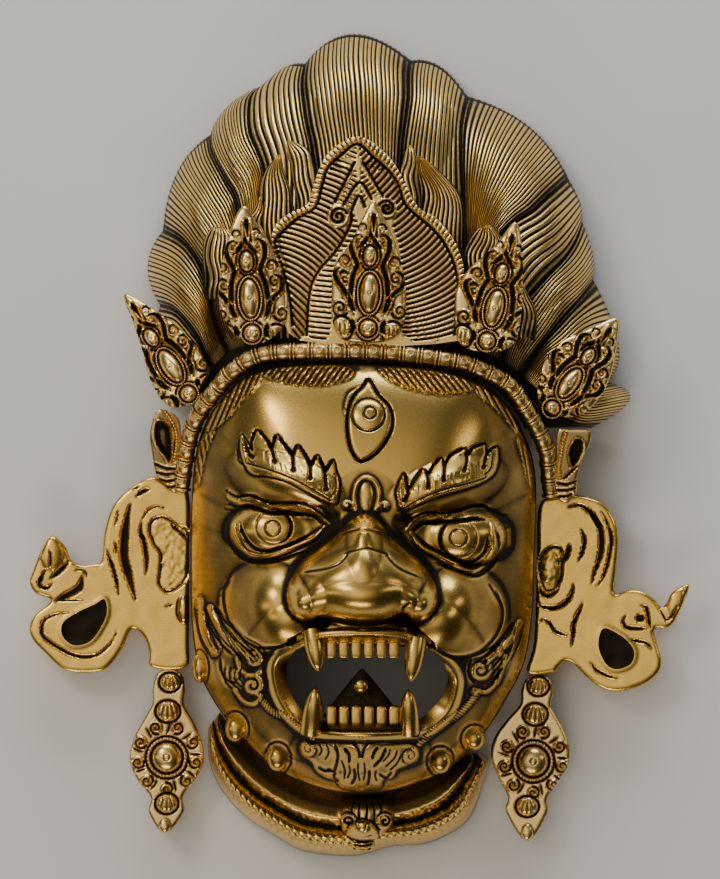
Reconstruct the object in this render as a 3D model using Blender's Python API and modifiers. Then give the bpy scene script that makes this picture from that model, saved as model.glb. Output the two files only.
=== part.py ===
import math

import bmesh
import bpy
import numpy as np
from mathutils import Matrix, Vector

# Brass mask of a wrathful guardian, lying on its back. X is right, Y is up the face, Z comes out of the face.
# Points and sizes are millimetres; millimetre turns them into the metres that Blender holds.
millimetre = 0.001

# Walls and gaps
wallThickness = 3.5
hairThickness = 3.0
pieceGap = 0.5
faceCells = 120
faceTriangles = 3600
cavityCells = 16
cavityReach = 8.0
cavityDirections = 8
cavityFoot = -5.0
faceWallRows = 4
cavityWallRows = 2
rimCrowding = 0.22

# The face's outline, seen from the front and clockwise from the crown
faceOutline = [
    (2.5, 40.5), (30.5, 38.5), (49.5, 35), (62.5, 29), (73, 19.5), (81, 6.5), (86.5, -9), (88, -28),
    (87, -58), (86, -85.5), (82, -109), (74, -125.5), (61, -145.5), (44, -162), (21, -171.5),
    (-0.5, -174.5), (-22, -171), (-42, -162), (-58.5, -147), (-72, -130), (-80.5, -112), (-84, -88),
    (-84.5, -58), (-84, -28), (-82, -5.5), (-76.5, 11.5), (-65.5, 26), (-52.5, 35.5), (-28, 40),
]
faceCentre = (1.5, -65.5)
faceDepth = 95.0
domePower = 2.4
domeRound = 0.62
# Height of the side wall at each level of the face, from the chin up to the crown
wallLevels = [-176.0, -153.0, -128.0, -40.0, -23.0, -3.0, 12.0, 22.0, 32.0, 42.0]
wallHeights = [38.0, 30.0, 24.0, 24.0, 27.0, 38.0, 47.0, 55.0, 62.0, 70.0]

# Swellings of the dome: centre, half width and half height, rise, turn
faceSwells = {
    "browRidgeLeft": ((-36.5, -20), (29.0, 12.0), 9.0, -20.0),
    "browRidgeRight": ((43, -22), (29.0, 12.0), 9.0, 18.0),
    "muzzle": ((2, -116), (62.0, 46.0), 14.0, 0.0),
    "chin": ((0, -155), (34.0, 20.0), 13.0, 0.0),
    "cheekLeft": ((-49, -80.5), (21.0, 22.0), 22.0, 0.0),
    "cheekRight": ((52.5, -83), (21.0, 22.5), 22.0, 0.0),
}
swellRound = 0.62
farAway = 1e9
wellBelow = -100.0
# Masses that stand on it: centre, half width and half height, height of the centre, rise above it, turn
faceMasses = {
    "noseBridge": ((2, -48.5), (17.0, 25.0), 80.0, 27.0, 0.0),
    "noseBall": ((1, -67), (21.0, 18.5), 98.0, 28.0, 0.0),
    "nostrilLeft": ((-22.5, -78), (13.0, 11.0), 95.0, 18.0, 15.0),
    "nostrilRight": ((26, -79), (13.0, 11.0), 95.0, 18.0, -15.0),
}
massBlend = 5.0
eyeSockets = {
    "socketLeft": ((-39.5, -42), (30.0, 18.0), 9.0),
    "socketRight": ((47, -44.5), (30.0, 18.0), 9.0),
}
socketSharpness = 1.6
eyeBalls = {
    "eyeLeft": ((-40.5, -43), (19.5, 13.5), 68.0, 21.0, 0.0),
    "eyeRight": ((48, -46), (19.5, 13.5), 68.0, 21.0, 0.0),
}
eyeBlend = 1.5
upperLidLeft = [(-64.5, -26.5), (-54.5, -27), (-38.5, -29.5), (-24.5, -30.5), (-15.5, -37.5)]
upperLidRight = [(25, -39), (34, -31), (47.5, -30), (61, -31.5), (72.5, -34)]
lowerLidLeft = [(-63, -34.5), (-60, -46), (-50, -56), (-37.5, -57), (-15, -44)]
lowerLidRight = [(25.5, -45), (40, -55.5), (59, -63.5), (68.5, -56), (70, -42)]
lidWidth = 3.0
lidRise = 2.8
thirdEyeLid = [(4, 33), (12.5, 23), (16.5, 11.5), (12, -1.5), (2.5, -8.5), (-5, -0.5), (-7, 10.5), (-3, 23)]
thirdLidWidth = 2.4
thirdLidRise = 2.2
thirdEye = ((4, 14.5), (8.0, 8.0), 84.0, 8.5, 0.0)
thirdEyeBlend = 1.0

# Mouth
lipLine = [
    (-43, -109), (-38, -99), (-25, -92.5), (1, -90), (26, -92.5), (39, -98.5), (47.5, -107),
    (49.5, -116.5), (47.5, -127), (41, -135), (28, -144), (1, -146.5), (-26, -144), (-36, -133.5),
    (-42, -123),
]
mouthOpening = [
    (-35, -106), (-29, -101), (-15, -98.5), (20, -98.5), (32.5, -101), (40, -106), (43.5, -114.5),
    (41.5, -124), (35, -132), (24, -137.5), (-21, -137.5), (-29.5, -131.5), (-35, -122.5), (-36.5, -113.5),
]
lipRadius = 4.0
lipRise = 3.5
lipInset = 1.5
funnelSlope = 1.8
mouthCutterLow = 10.0
mouthCutterHeight = 130.0
# Gums: ends, radius, level
gums = {
    "upperGum": ((-31, -96.5), (35, -96.5), 4.2, 94.0),
    "lowerGum": ((-26, -141.5), (29, -141.5), 4.2, 85.0),
}
# Fangs: base, tip, radius, level of the base and of the tip
fangs = {
    "fangUpperLeft": ((-22.5, -96), (-21.5, -112.5), 3.8, 97.0, 101.0),
    "fangUpperRight": ((26, -99), (24, -116.5), 3.8, 97.0, 101.0),
    "fangLowerLeft": ((-23, -140), (-21.5, -121), 3.8, 87.0, 95.0),
    "fangLowerRight": ((24.5, -140), (23, -122.5), 3.8, 87.0, 95.0),
}
spikeTip = 0.22
# Tongue: base, tip, radius, level of the base and of the tip, flatness
tongue = ((1, -139), (0.5, -112), 16.0, 78.0, 86.0, 0.5)
toothSize = (5.4, 9.0, 4.5)
toothPitch = 6.2
toothCount = 6
toothMiddle = 1.0
toothRows = {"upperTooth": (-102.0, 97.0), "lowerTooth": (-134.5, 88.0)}

# Brows of flame, laid on the brow ridges
browLeft = [
    (-58.5, -8), (-59, 4.5), (-54, -2), (-51.5, 7), (-47, -3), (-41, 4.5), (-38.5, -7), (-31, -0.5),
    (-29.5, -12), (-21.5, -5.5), (-21, -18), (-13.5, -9), (-11, -23), (-13, -30.5), (-27, -22),
    (-40.5, -15.5), (-54, -16.5),
]
browRight = [
    (20.5, -33.5), (19.5, -25), (22, -14), (28, -23), (31.5, -11.5), (37, -20), (40, -6), (46, -16),
    (52, -3), (56, -13), (61.5, 0), (63.5, -10), (68.5, -0.5), (67, -13), (60, -20), (48, -22.5),
    (35, -26.5),
]
browProud = 2.2
browEdge = 0.6
jawStuds = {
    "studLeftUpper": ((-80, -112), (4.5, 9.0, 6.0)),
    "studLeftMiddle": ((-62, -142), (6.5, 8.5, 7.0)),
    "studLeftLower": ((-41, -156.5), (6.5, 8.0, 7.0)),
    "studRightLower": ((40, -158), (6.5, 7.5, 7.0)),
    "studRightUpper": ((57, -147), (6.5, 7.0, 7.0)),
}
studSink = 1.3
studSides = (8, 5)

# Fan of hair: each lock is the valley it starts from and the point where it swells furthest
hairLocks = [
    ((-98.5, 23), (-101, 46)), ((-100, 69.5), (-106.2, 89)), ((-98.5, 106.5), (-91.5, 136)),
    ((-75, 154), (-66, 169)), ((-49, 179), (-36.5, 188.5)), ((-27.5, 190), (-3.7, 205)),
    ((25.5, 192), (40, 189)), ((53.8, 173.8), (85, 158.5)), ((104.2, 132.5), (110, 121)),
    ((111, 111), (116.5, 95)), ((116.5, 82), (129.5, 48.5)), ((122.5, 31), (135, 22.5)),
]
hairEnd = (115.5, 8)
hairCentre = (1.5, 6)
hairStepsPerLock = 4
hairRows = 5
hairBelowBand = 7.6
hairPower = 2.4
hairRound = 0.55
hairGap = 0.6
hairCrowding = 0.25
lockSwell = 5.0
lockSwellStart = 0.12
lockSwellGrowth = 1.8
lockSwellFade = 6
hairRim = 6.0
crestOutline = [
    (-1.2, 153), (9.5, 148), (17.5, 139), (23.5, 127.5), (29.5, 117.5), (37.5, 113), (44.5, 105),
    (48.5, 97.5), (51.5, 88), (52, 72), (49.5, 51.5), (-29.5, 51.5), (-37, 78), (-40.5, 89.5),
    (-43.8, 99.2), (-42.2, 108.5), (-35.5, 114.5), (-26, 119.5), (-23.5, 127.5), (-19.5, 139),
    (-12.5, 148),
]
crestLow = 61.0
crestThickness = 9.0
crestAt = (-1.5, 49.5)
crestSlope = -0.135

# Diadem band over the forehead, from the left temple to the right one
bandLine = [
    (-89, -23), (-88, -12.5), (-85.5, -2), (-83, 7), (-78.5, 14.5), (-73.5, 22.5), (-68, 32),
    (-60.5, 38.5), (-53.5, 43), (-43.5, 45.5), (-28, 46), (5, 45.5), (30.5, 43), (49, 41), (62.5, 36),
    (74.5, 29), (82.5, 17.5), (89, 6.5), (93, -3.5), (94.5, -16), (95.5, -26),
]
bandRadius = 4.4
bandPitch = 9.0
bandClearance = 1.06
bandLift = 0.5
beadProfile = [(0.06, 0.84), (0.5, 1.0)]

# Leaves of the diadem: outline, plane of the back (height at the point named, slope to the right, slope up)
leaves = {
    "leaf_centre": {
        "outline": [
            (6.8, 121.2), (11.5, 113.5), (15, 106.5), (19, 95.5), (22.5, 80), (22.5, 62.5), (19, 55),
            (9.5, 51), (-4, 51), (-10.5, 54), (-14, 63), (-14, 74), (-13, 88), (-5.5, 99), (1, 112),
        ],
        "long": ((4.8, 74.2), (5.0, 9.5)), "round": ((4, 57.5), (4.0, 4.0)),
        "at": (4.5, 49.5), "height": 70.8, "right": 0.0, "up": -0.04,
    },
    "leaf_inner_left": {
        "outline": [
            (-57.5, 118.5), (-52, 111), (-44.5, 99.5), (-39.5, 86), (-36, 74), (-37, 61), (-44, 52.5),
            (-53, 49.5), (-61, 53), (-67, 61), (-70.2, 71.5), (-69, 88), (-63.5, 109.5),
        ],
        "long": ((-55.5, 71.5), (4.8, 9.0)), "round": ((-53, 55), (3.6, 3.6)),
        "at": (-53, 49.5), "height": 71.0, "right": 0.0, "up": -0.10,
    },
    "leaf_inner_right": {
        "outline": [
            (77, 110.5), (80.5, 99.5), (81, 84.5), (80.5, 67), (78, 53), (72.5, 47), (63, 45.5),
            (53, 47.5), (48, 53), (47, 65), (48, 77), (55, 88), (67, 98.5),
        ],
        "long": ((66, 67.5), (4.8, 9.0)), "round": ((64, 51.5), (3.6, 3.6)),
        "at": (63, 45.5), "height": 71.5, "right": 0.0, "up": -0.10,
    },
    "leaf_outer_left": {
        "outline": [
            (-117.5, 75), (-102.5, 67), (-92, 59), (-83.5, 51), (-77, 41), (-76.5, 35), (-79.5, 29),
            (-82, 23), (-89, 18.5), (-97, 20), (-102.5, 28), (-106, 36.5), (-109, 48.5), (-113, 60.5),
        ],
        "long": ((-96, 38), (4.8, 9.0)), "round": ((-86.5, 26.5), (3.6, 3.6)),
        "at": (-85, 24), "height": 56.5, "right": 0.30, "up": -0.16,
    },
    "leaf_outer_right": {
        "outline": [
            (128.2, 63), (128.5, 52), (125.5, 36), (120, 24), (111, 15), (101, 13.5), (93, 16.5),
            (88.5, 23.5), (89.5, 33), (91.5, 41), (97.5, 48), (103.5, 53), (115.5, 58),
        ],
        "long": ((106.5, 31.5), (4.8, 9.0)), "round": ((97, 21), (3.6, 3.6)),
        "at": (96, 21), "height": 56.5, "right": -0.30, "up": -0.16,
    },
}
leafThickness = 2.4
leafProud = 1.8
leafRaisedShare = 0.72
leafRaisedSink = 1.0
bossSink = 0.6
bossRise = 3.2
smallSides = (7, 4)

# Panels under the outer leaves
sideOrnaments = {
    "side_ornament_left": {
        "outline": [
            (-100, 17), (-104, 10), (-105, 2), (-103.5, -7.5), (-101, -14.5), (-96, -15), (-93, -9),
            (-92.5, -1), (-91, 7), (-92, 15),
        ],
        "at": (-100, 2), "height": 31.0, "right": 0.0, "up": 0.28,
    },
    "side_ornament_right": {
        "outline": [
            (98.5, 5), (108, 5.5), (114.5, 4.5), (115.5, -1.5), (113.5, -8.5), (109, -16.5),
            (105.5, -22.5), (102, -23), (100, -16), (99, -6),
        ],
        "at": (107.5, -3), "height": 31.0, "right": 0.0, "up": 0.26,
    },
}
ornamentThickness = 5.0

# Ears: outline clockwise from the top, and the hole in the curl
ears = {
    "ear_left": {
        "outline": [
            (-85.5, -25), (-93.5, -21.5), (-102.5, -16.5), (-114, -21.5), (-123, -30.5), (-127.5, -43.5),
            (-129, -58), (-133, -60), (-139.5, -60.5), (-144.5, -57.5), (-147, -51.5), (-153.5, -45.5),
            (-158.5, -51.5), (-163.5, -64), (-165, -69), (-162, -74.5), (-154, -78), (-161.5, -84.5),
            (-165, -91), (-163.5, -97.5), (-157.5, -104), (-147, -113), (-133, -114), (-126, -111.5),
            (-119, -102.5), (-114, -92.5), (-108, -96), (-105, -104), (-104, -111.5), (-87, -111.5),
            (-85.5, -98), (-85.5, -58),
        ],
        "hole": [
            (-127.5, -77.5), (-126.5, -85), (-130.5, -93.5), (-135.5, -99), (-143, -100.5), (-148.5, -96),
            (-148.5, -89.5), (-142, -84.5), (-132.5, -80),
        ],
    },
    "ear_right": {
        "outline": [
            (89.5, -31), (98.5, -25.5), (108, -25.5), (121, -29.5), (127.5, -38.5), (129, -48.5),
            (128, -61.5), (127, -74.5), (134, -73), (140.5, -73.5), (146.5, -77), (150.5, -81.5),
            (153.5, -79), (156, -74), (164.5, -70.5), (158, -87), (153, -92), (147, -92.5), (148.5, -100),
            (150.5, -107.5), (149, -114), (141.5, -120), (130, -123.5), (121, -122), (113.5, -116.5),
            (107, -110), (102.5, -108.5), (98.5, -112), (96.5, -114), (83.5, -114), (87, -98), (88.5, -58),
        ],
        "hole": [
            (119, -100.5), (121.5, -92), (130, -95.5), (135, -100), (137, -104.5), (135, -110),
            (128, -112.5), (122.5, -109.5),
        ],
    },
}
earLow = 13.0
earThickness = 4.0

# Drops under the ears: outline, boss and buds
pendants = {
    "pendant_left": {
        "outline": [
            (-95, -112.5), (-89, -115), (-87.5, -123), (-88, -130), (-83, -139), (-78.5, -150.5),
            (-78.5, -160.5), (-83.5, -169), (-88.5, -176.5), (-88, -184), (-97.5, -194.5), (-105.5, -184),
            (-104.5, -176.5), (-111, -168), (-115, -158), (-113, -147), (-107, -136), (-103.5, -129),
            (-103.5, -123), (-101.5, -115),
        ],
        "boss": (-96.5, -156.5), "buds": ((-95, -120), (-96, -134.5), (-96.5, -180.5)),
    },
    "pendant_right": {
        "outline": [
            (89, -115), (95, -117.5), (96.5, -124), (95.5, -131), (100.5, -140), (104.5, -150.5),
            (104, -159.5), (99, -168.5), (93.5, -177), (93.5, -184.5), (83.5, -198.5), (73, -184),
            (74, -176.5), (69.5, -167.5), (65.5, -156.5), (67, -147), (73.5, -137.5), (80, -130),
            (80.5, -123), (83, -117.5),
        ],
        "boss": (86.5, -158.5), "buds": ((89, -122), (87.5, -136), (83.5, -182)),
    },
}
pendantLow = 12.0
pendantThickness = 5.0
pendantBoss = (8.0, 8.0, 6.0)
pendantBud = (6.0, 5.5, 4.0)

# Serpent collar under the jaw: outer edge from the left end to the right end, and the raised head
collarOuter = [
    (-76, -142), (-75.5, -158), (-69.5, -172.5), (-57.5, -186), (-41.5, -196.5), (-29.5, -203),
    (-15, -205.5), (-0.5, -205.5), (16.5, -201), (31, -200), (43.5, -195.5), (55.5, -186), (62.5, -166.5),
    (64.5, -159), (59.5, -154),
]
collarStart = (-70.5, -134)
collarFinish = (53, -155.5)
collarSteps = 26
collarHeights = [14.0, 16.0, 25.0, 27.0, 21.0, 9.0, 0.0]
collarShares = [0.0, 0.40, 0.58, 0.75, 0.90, 1.0, 1.0]
collarThickness = 3.0
serpentHead = ((3.5, -189.5), (14.5, 12.5, 15.0), 29.0)
serpentHeadSides = (12, 8)

# Brass: colour and roughness
facePolish = ((0.70, 0.49, 0.19), 0.32)
earPolish = ((0.70, 0.49, 0.19), 0.34)
ornamentPolish = ((0.66, 0.44, 0.15), 0.36)
hairPolish = ((0.42, 0.29, 0.12), 0.42)


def startEmpty():
    for thing in list(bpy.data.objects):
        bpy.data.objects.remove(thing, do_unlink=True)


def newCollection(name):
    collection = bpy.data.collections.new(name)
    bpy.context.scene.collection.children.link(collection)
    return collection


def brassMaterial(name, polish):
    colour, roughness = polish
    material = bpy.data.materials.new(name)
    material.use_nodes = True
    shader = material.node_tree.nodes["Principled BSDF"]
    shader.inputs["Base Color"].default_value = (*colour, 1.0)
    shader.inputs["Metallic"].default_value = 1.0
    shader.inputs["Roughness"].default_value = roughness
    return material


def smoothLine(points, stepsPerSpan, closed):
    # Points of a smooth curve through the given ones
    points = np.array(points, dtype=float)
    count = len(points)
    spans = count if closed else count - 1
    line = []
    for span in range(spans):
        picks = [span - 1, span, span + 1, span + 2]
        if closed:
            picks = [pick % count for pick in picks]
        else:
            picks = [min(max(pick, 0), count - 1) for pick in picks]
        before, start, end, after = points[picks]
        for step in range(stepsPerSpan):
            t = step / stepsPerSpan
            line.append(0.5 * (2 * start + (end - before) * t
                               + (2 * before - 5 * start + 4 * end - after) * t ** 2
                               + (3 * start - before - 3 * end + after) * t ** 3))
    if not closed:
        line.append(points[-1])
    return np.array(line)


def radiusTable(outline, centre):
    # How far a closed outline lies from its centre, as a function of the angle
    line = smoothLine(outline, 8, True) - np.array(centre)
    angles = np.arctan2(line[:, 1], line[:, 0])
    order = np.argsort(angles)
    radii = np.hypot(line[:, 0], line[:, 1])[order]
    return angles[order], radii


def radiusAt(table, angle):
    return np.interp(angle, table[0], table[1], period=2 * math.pi)


def distanceToLine(x, y, line, closed):
    # Distance to a line of points, and for a closed line a positive sign inside it
    line = np.array(line)
    ends = np.roll(line, -1, axis=0) if closed else line[1:]
    starts = line if closed else line[:-1]
    nearest = np.full(np.shape(x), farAway)
    crossings = np.zeros(np.shape(x), dtype=bool)
    for start, end in zip(starts, ends):
        along = end - start
        share = ((x - start[0]) * along[0] + (y - start[1]) * along[1]) / max(along @ along, 1e-9)
        share = np.clip(share, 0.0, 1.0)
        gap = np.hypot(x - start[0] - share * along[0], y - start[1] - share * along[1])
        nearest = np.minimum(nearest, gap)
        if closed and abs(along[1]) > 1e-9:
            over = (start[1] > y) != (end[1] > y)
            crossings ^= over & (x < start[0] + (y - start[1]) * along[0] / along[1])
    return np.where(crossings, nearest, -nearest) if closed else nearest


def smoothHigher(first, second, width):
    share = np.clip(0.5 + 0.5 * (first - second) / width, 0.0, 1.0)
    return second + (first - second) * share + width * share * (1 - share)


def depthInside(x, y, centre, halves, turn):
    # 1 at the middle of an ellipse, 0 on it and less than 0 outside
    cosine, sine = math.cos(math.radians(turn)), math.sin(math.radians(turn))
    across = ((x - centre[0]) * cosine + (y - centre[1]) * sine) / halves[0]
    along = ((y - centre[1]) * cosine - (x - centre[0]) * sine) / halves[1]
    return 1 - across ** 2 - along ** 2


def swellRise(x, y, swell):
    centre, halves, rise, turn = swell
    return rise * np.maximum(depthInside(x, y, centre, halves, turn), 0) ** swellRound


def massTop(x, y, mass):
    centre, halves, low, rise, turn = mass
    inside = depthInside(x, y, centre, halves, turn)
    return np.where(inside > 0, low + rise * np.sqrt(np.maximum(inside, 0)), wellBelow)


def ridgeRise(distance, halfWidth, rise):
    return rise * np.sqrt(np.maximum(1 - (distance / halfWidth) ** 2, 0))


faceRadii = radiusTable(faceOutline, faceCentre)
lipCurve = smoothLine(lipLine, 3, True)


def wallTop(angle):
    level = faceCentre[1] + radiusAt(faceRadii, angle) * np.sin(angle)
    return np.interp(level, wallLevels, wallHeights)


def faceHeight(x, y):
    # Height of the outside of the face at points inside its outline
    angle = np.arctan2(y - faceCentre[1], x - faceCentre[0])
    share = np.hypot(x - faceCentre[0], y - faceCentre[1]) / radiusAt(faceRadii, angle)
    rim = wallTop(angle)
    dome = np.maximum(1 - np.minimum(share, 1.0) ** domePower, 0) ** domeRound
    height = rim + (faceDepth - rim) * dome
    for centre, (halfWidth, halfHeight), depth in eyeSockets.values():
        height = height - depth * np.exp(-((x - centre[0]) / halfWidth) ** 2 * socketSharpness
                                         - ((y - centre[1]) / halfHeight) ** 2 * socketSharpness)
    for swell in faceSwells.values():
        height = height + swellRise(x, y, swell)
    skin = height
    for mass in faceMasses.values():
        height = smoothHigher(massTop(x, y, mass), height, massBlend)
    for mass in eyeBalls.values():
        height = smoothHigher(massTop(x, y, mass), height, eyeBlend)
    for brow in (browLeft, browRight):
        height = height + browProud * np.clip(distanceToLine(x, y, brow, True) + browEdge, 0.0, 1.0)
    for line in (upperLidLeft, upperLidRight, lowerLidLeft, lowerLidRight):
        lid = distanceToLine(x, y, smoothLine(line, 3, False), False)
        height = height + ridgeRise(lid, lidWidth, lidRise)
    thirdLid = distanceToLine(x, y, smoothLine(thirdEyeLid, 2, True), True)
    height = height + ridgeRise(thirdLid, thirdLidWidth, thirdLidRise)
    height = smoothHigher(massTop(x, y, thirdEye), height, thirdEyeBlend)
    inside = distanceToLine(x, y, lipCurve, True)
    height = height + ridgeRise(inside, lipRadius, lipRise)
    funnel = skin + lipRise - (inside - lipInset) * funnelSlope
    return np.where(inside > lipInset, np.minimum(height, funnel), height)


def finishMesh(mesh, name, collection, material=None, smooth=False):
    bmesh.ops.recalc_face_normals(mesh, faces=mesh.faces)
    data = bpy.data.meshes.new(name)
    mesh.to_mesh(data)
    mesh.free()
    thing = bpy.data.objects.new(name, data)
    collection.objects.link(thing)
    if material:
        data.materials.append(material)
    return thing


def domeSolid(name, cells, inset, heightAt, wallRows, foot, collection, material):
    # Closed dome on a disc-shaped grid: its side wall goes down to the level of the foot
    mesh = bmesh.new()
    bmesh.ops.create_grid(mesh, x_segments=cells, y_segments=cells, size=1.0)
    wallStart = 1 - wallRows * 2 / cells
    u, v = np.array([vertex.co.xy for vertex in mesh.verts]).T
    reach = np.maximum(np.abs(u), np.abs(v))
    drop = np.maximum(0.0, (reach - wallStart) / (1 - wallStart))
    scale = 1 / np.maximum(reach, wallStart)
    u, v = u * scale, v * scale
    diskX, diskY = u * np.sqrt(1 - v * v / 2), v * np.sqrt(1 - u * u / 2)
    share = np.minimum(np.hypot(diskX, diskY), 1.0)
    share = share * (1 + rimCrowding - rimCrowding * share ** 2)
    angle = np.arctan2(diskY, diskX)
    radius = (radiusAt(faceRadii, angle) - inset) * share
    x = faceCentre[0] + radius * np.cos(angle)
    y = faceCentre[1] + radius * np.sin(angle)
    top = heightAt(x, y)
    places = np.stack((x, y, top + (foot - top) * drop), axis=1) * millimetre
    for vertex, place in zip(mesh.verts, places):
        vertex.co = place
    edges = [edge for edge in mesh.edges if edge.is_boundary]
    bmesh.ops.holes_fill(mesh, edges=edges, sides=0)
    bmesh.ops.triangulate(mesh, faces=mesh.faces)
    return finishMesh(mesh, name, collection, material)


def outerTop(x, y):
    return float(faceHeight(np.array([x]), np.array([y]))[0])


def cavityTop(x, y):
    # Lowest part of the outside near the point, less the wall
    turns = np.arange(cavityDirections) * 2 * math.pi / cavityDirections
    ring = np.stack((np.cos(turns), np.sin(turns)), axis=1)
    offsets = np.concatenate(([(0.0, 0.0)], ring * cavityReach, ring * cavityReach / 2))
    near = [faceHeight(x + offset[0], y + offset[1]) for offset in offsets]
    return np.min(near, axis=0) - wallThickness


def flatPiece(name, outline, low, thickness, collection, material=None, stepsPerSpan=1, holes=()):
    # Plate with a straight edge, from a 2D curve, with its back at the level low
    curve = bpy.data.curves.new(name + "Curve", "CURVE")
    curve.dimensions = "2D"
    curve.fill_mode = "BOTH"
    curve.extrude = thickness / 2 * millimetre
    for loop in (outline, *holes):
        line = smoothLine(loop, stepsPerSpan, True)
        spline = curve.splines.new("POLY")
        spline.points.add(len(line) - 1)
        for point, (x, y) in zip(spline.points, line):
            point.co = (x * millimetre, y * millimetre, 0.0, 1.0)
        spline.use_cyclic_u = True
    thing = bpy.data.objects.new(name + "Curve", curve)
    collection.objects.link(thing)
    thing.location.z = (low + thickness / 2) * millimetre
    return curveToMesh(thing, name, collection, material)


def curveToMesh(thing, name, collection, material=None):
    bpy.context.view_layer.update()
    data = bpy.data.meshes.new_from_object(thing.evaluated_get(bpy.context.evaluated_depsgraph_get()))
    data.transform(thing.matrix_world)
    data.materials.clear()
    mesh = bmesh.new()
    mesh.from_mesh(data)
    bmesh.ops.remove_doubles(mesh, verts=mesh.verts, dist=1e-6)
    bpy.data.objects.remove(thing, do_unlink=True)
    return finishMesh(mesh, name, collection, material)


def lean(thing, at, right, up):
    # Slopes a plate without changing its outline from the front
    for vertex in thing.data.vertices:
        vertex.co.z += (vertex.co.x - at[0] * millimetre) * right + (vertex.co.y - at[1] * millimetre) * up


def ball(name, at, halves, level, collection, around=8, rings=6):
    mesh = bmesh.new()
    bmesh.ops.create_uvsphere(mesh, u_segments=around, v_segments=rings, radius=1.0)
    for vertex in mesh.verts:
        vertex.co = Vector((at[0] + vertex.co.x * halves[0], at[1] + vertex.co.y * halves[1],
                            level + vertex.co.z * halves[2])) * millimetre
    return finishMesh(mesh, name, collection)


def spike(name, base, tip, radius, baseLevel, tipLevel, collection, sides=8, flat=1.0):
    # Cone from its base to its tip, such as a fang
    start = Vector((*base, baseLevel))
    reach = Vector((*tip, tipLevel)) - start
    mesh = bmesh.new()
    bmesh.ops.create_cone(mesh, cap_ends=True, segments=sides, radius1=radius, radius2=radius * spikeTip,
                          depth=reach.length)
    bmesh.ops.transform(mesh, matrix=Matrix.Diagonal((1, flat, 1, 1)), verts=mesh.verts)
    turn = reach.to_track_quat("Z", "Y").to_matrix().to_4x4()
    bmesh.ops.transform(mesh, matrix=Matrix.Translation(start + reach / 2) @ turn, verts=mesh.verts)
    bmesh.ops.scale(mesh, vec=(millimetre,) * 3, verts=mesh.verts)
    return finishMesh(mesh, name, collection)


def bar(name, start, end, radius, level, collection, sides=8):
    # Round bar along X, which joins a row of teeth to its gum
    mesh = bmesh.new()
    bmesh.ops.create_cone(mesh, cap_ends=True, segments=sides, radius1=radius, radius2=radius,
                          depth=end[0] - start[0])
    middle = Matrix.Translation(((start[0] + end[0]) / 2, start[1], level))
    place = middle @ Matrix.Rotation(math.pi / 2, 4, "Y")
    bmesh.ops.transform(mesh, matrix=place, verts=mesh.verts)
    bmesh.ops.scale(mesh, vec=(millimetre,) * 3, verts=mesh.verts)
    return finishMesh(mesh, name, collection)


def block(name, centre, size, collection):
    mesh = bmesh.new()
    bmesh.ops.create_cube(mesh, size=1.0)
    for vertex in mesh.verts:
        vertex.co = Vector([(centre[axis] + vertex.co[axis] * size[axis]) * millimetre for axis in range(3)])
    return finishMesh(mesh, name, collection)


def combine(thing, other, operation):
    modifier = thing.modifiers.new(other.name, "BOOLEAN")
    modifier.object = other
    modifier.operation = operation
    modifier.solver = "EXACT"


def hideTools(collection):
    for thing in collection.objects:
        thing.hide_render = True
        thing.display_type = "WIRE"


def buildFace(parts, tools, material):
    face = domeSolid("face", faceCells, 0.0, faceHeight, faceWallRows, 0.0, parts, material)
    thin = face.modifiers.new("thin", "DECIMATE")
    thin.ratio = faceTriangles / len(face.data.polygons)
    cavity = domeSolid("faceCavity", cavityCells, wallThickness, cavityTop, cavityWallRows, cavityFoot,
                       tools, None)
    combine(face, cavity, "DIFFERENCE")
    cutter = flatPiece("mouthCutter", mouthOpening, mouthCutterLow, mouthCutterHeight, tools)
    combine(face, cutter, "DIFFERENCE")
    additions = [bar(name, *sizes, tools) for name, sizes in gums.items()]
    additions += [spike(name, *sizes, tools) for name, sizes in fangs.items()]
    for index in range(toothCount):
        x = toothMiddle + (index - (toothCount - 1) / 2) * toothPitch
        for name, (y, level) in toothRows.items():
            additions.append(block("%s%d" % (name, index), (x, y, level), toothSize, tools))
    additions.append(spike("tongue", *tongue[:5], tools, flat=tongue[5]))
    for name, (at, halves) in jawStuds.items():
        additions.append(ball(name, at, halves, outerTop(*at) - studSink, tools, *studSides))
    for addition in additions:
        combine(face, addition, "UNION")
    return face


def hairOuterLine():
    line = []
    ends = [lock[0] for lock in hairLocks[1:]] + [hairEnd]
    for (start, swell), end in zip(hairLocks, ends):
        start, swell, end = np.array(start), np.array(swell), np.array(end)
        control = 2 * swell - (start + end) / 2
        for step in range(hairStepsPerLock):
            t = step / hairStepsPerLock
            line.append((1 - t) ** 2 * start + 2 * t * (1 - t) * control + t ** 2 * end)
    line.append(np.array(hairEnd))
    return np.array(line)


def faceEdgeOnRay(origin, angle, gap):
    # Point where a ray from inside the face leaves the face's outline, moved out by the gap
    origin = np.array(origin)
    direction = np.array((math.cos(angle), math.sin(angle)))
    low, high = 0.0, 200.0
    for _ in range(40):
        middle = (low + high) / 2
        point = origin + direction * middle - np.array(faceCentre)
        inside = math.hypot(*point) < float(radiusAt(faceRadii, math.atan2(point[1], point[0])))
        low, high = (middle, high) if inside else (low, middle)
    return low + gap


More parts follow.
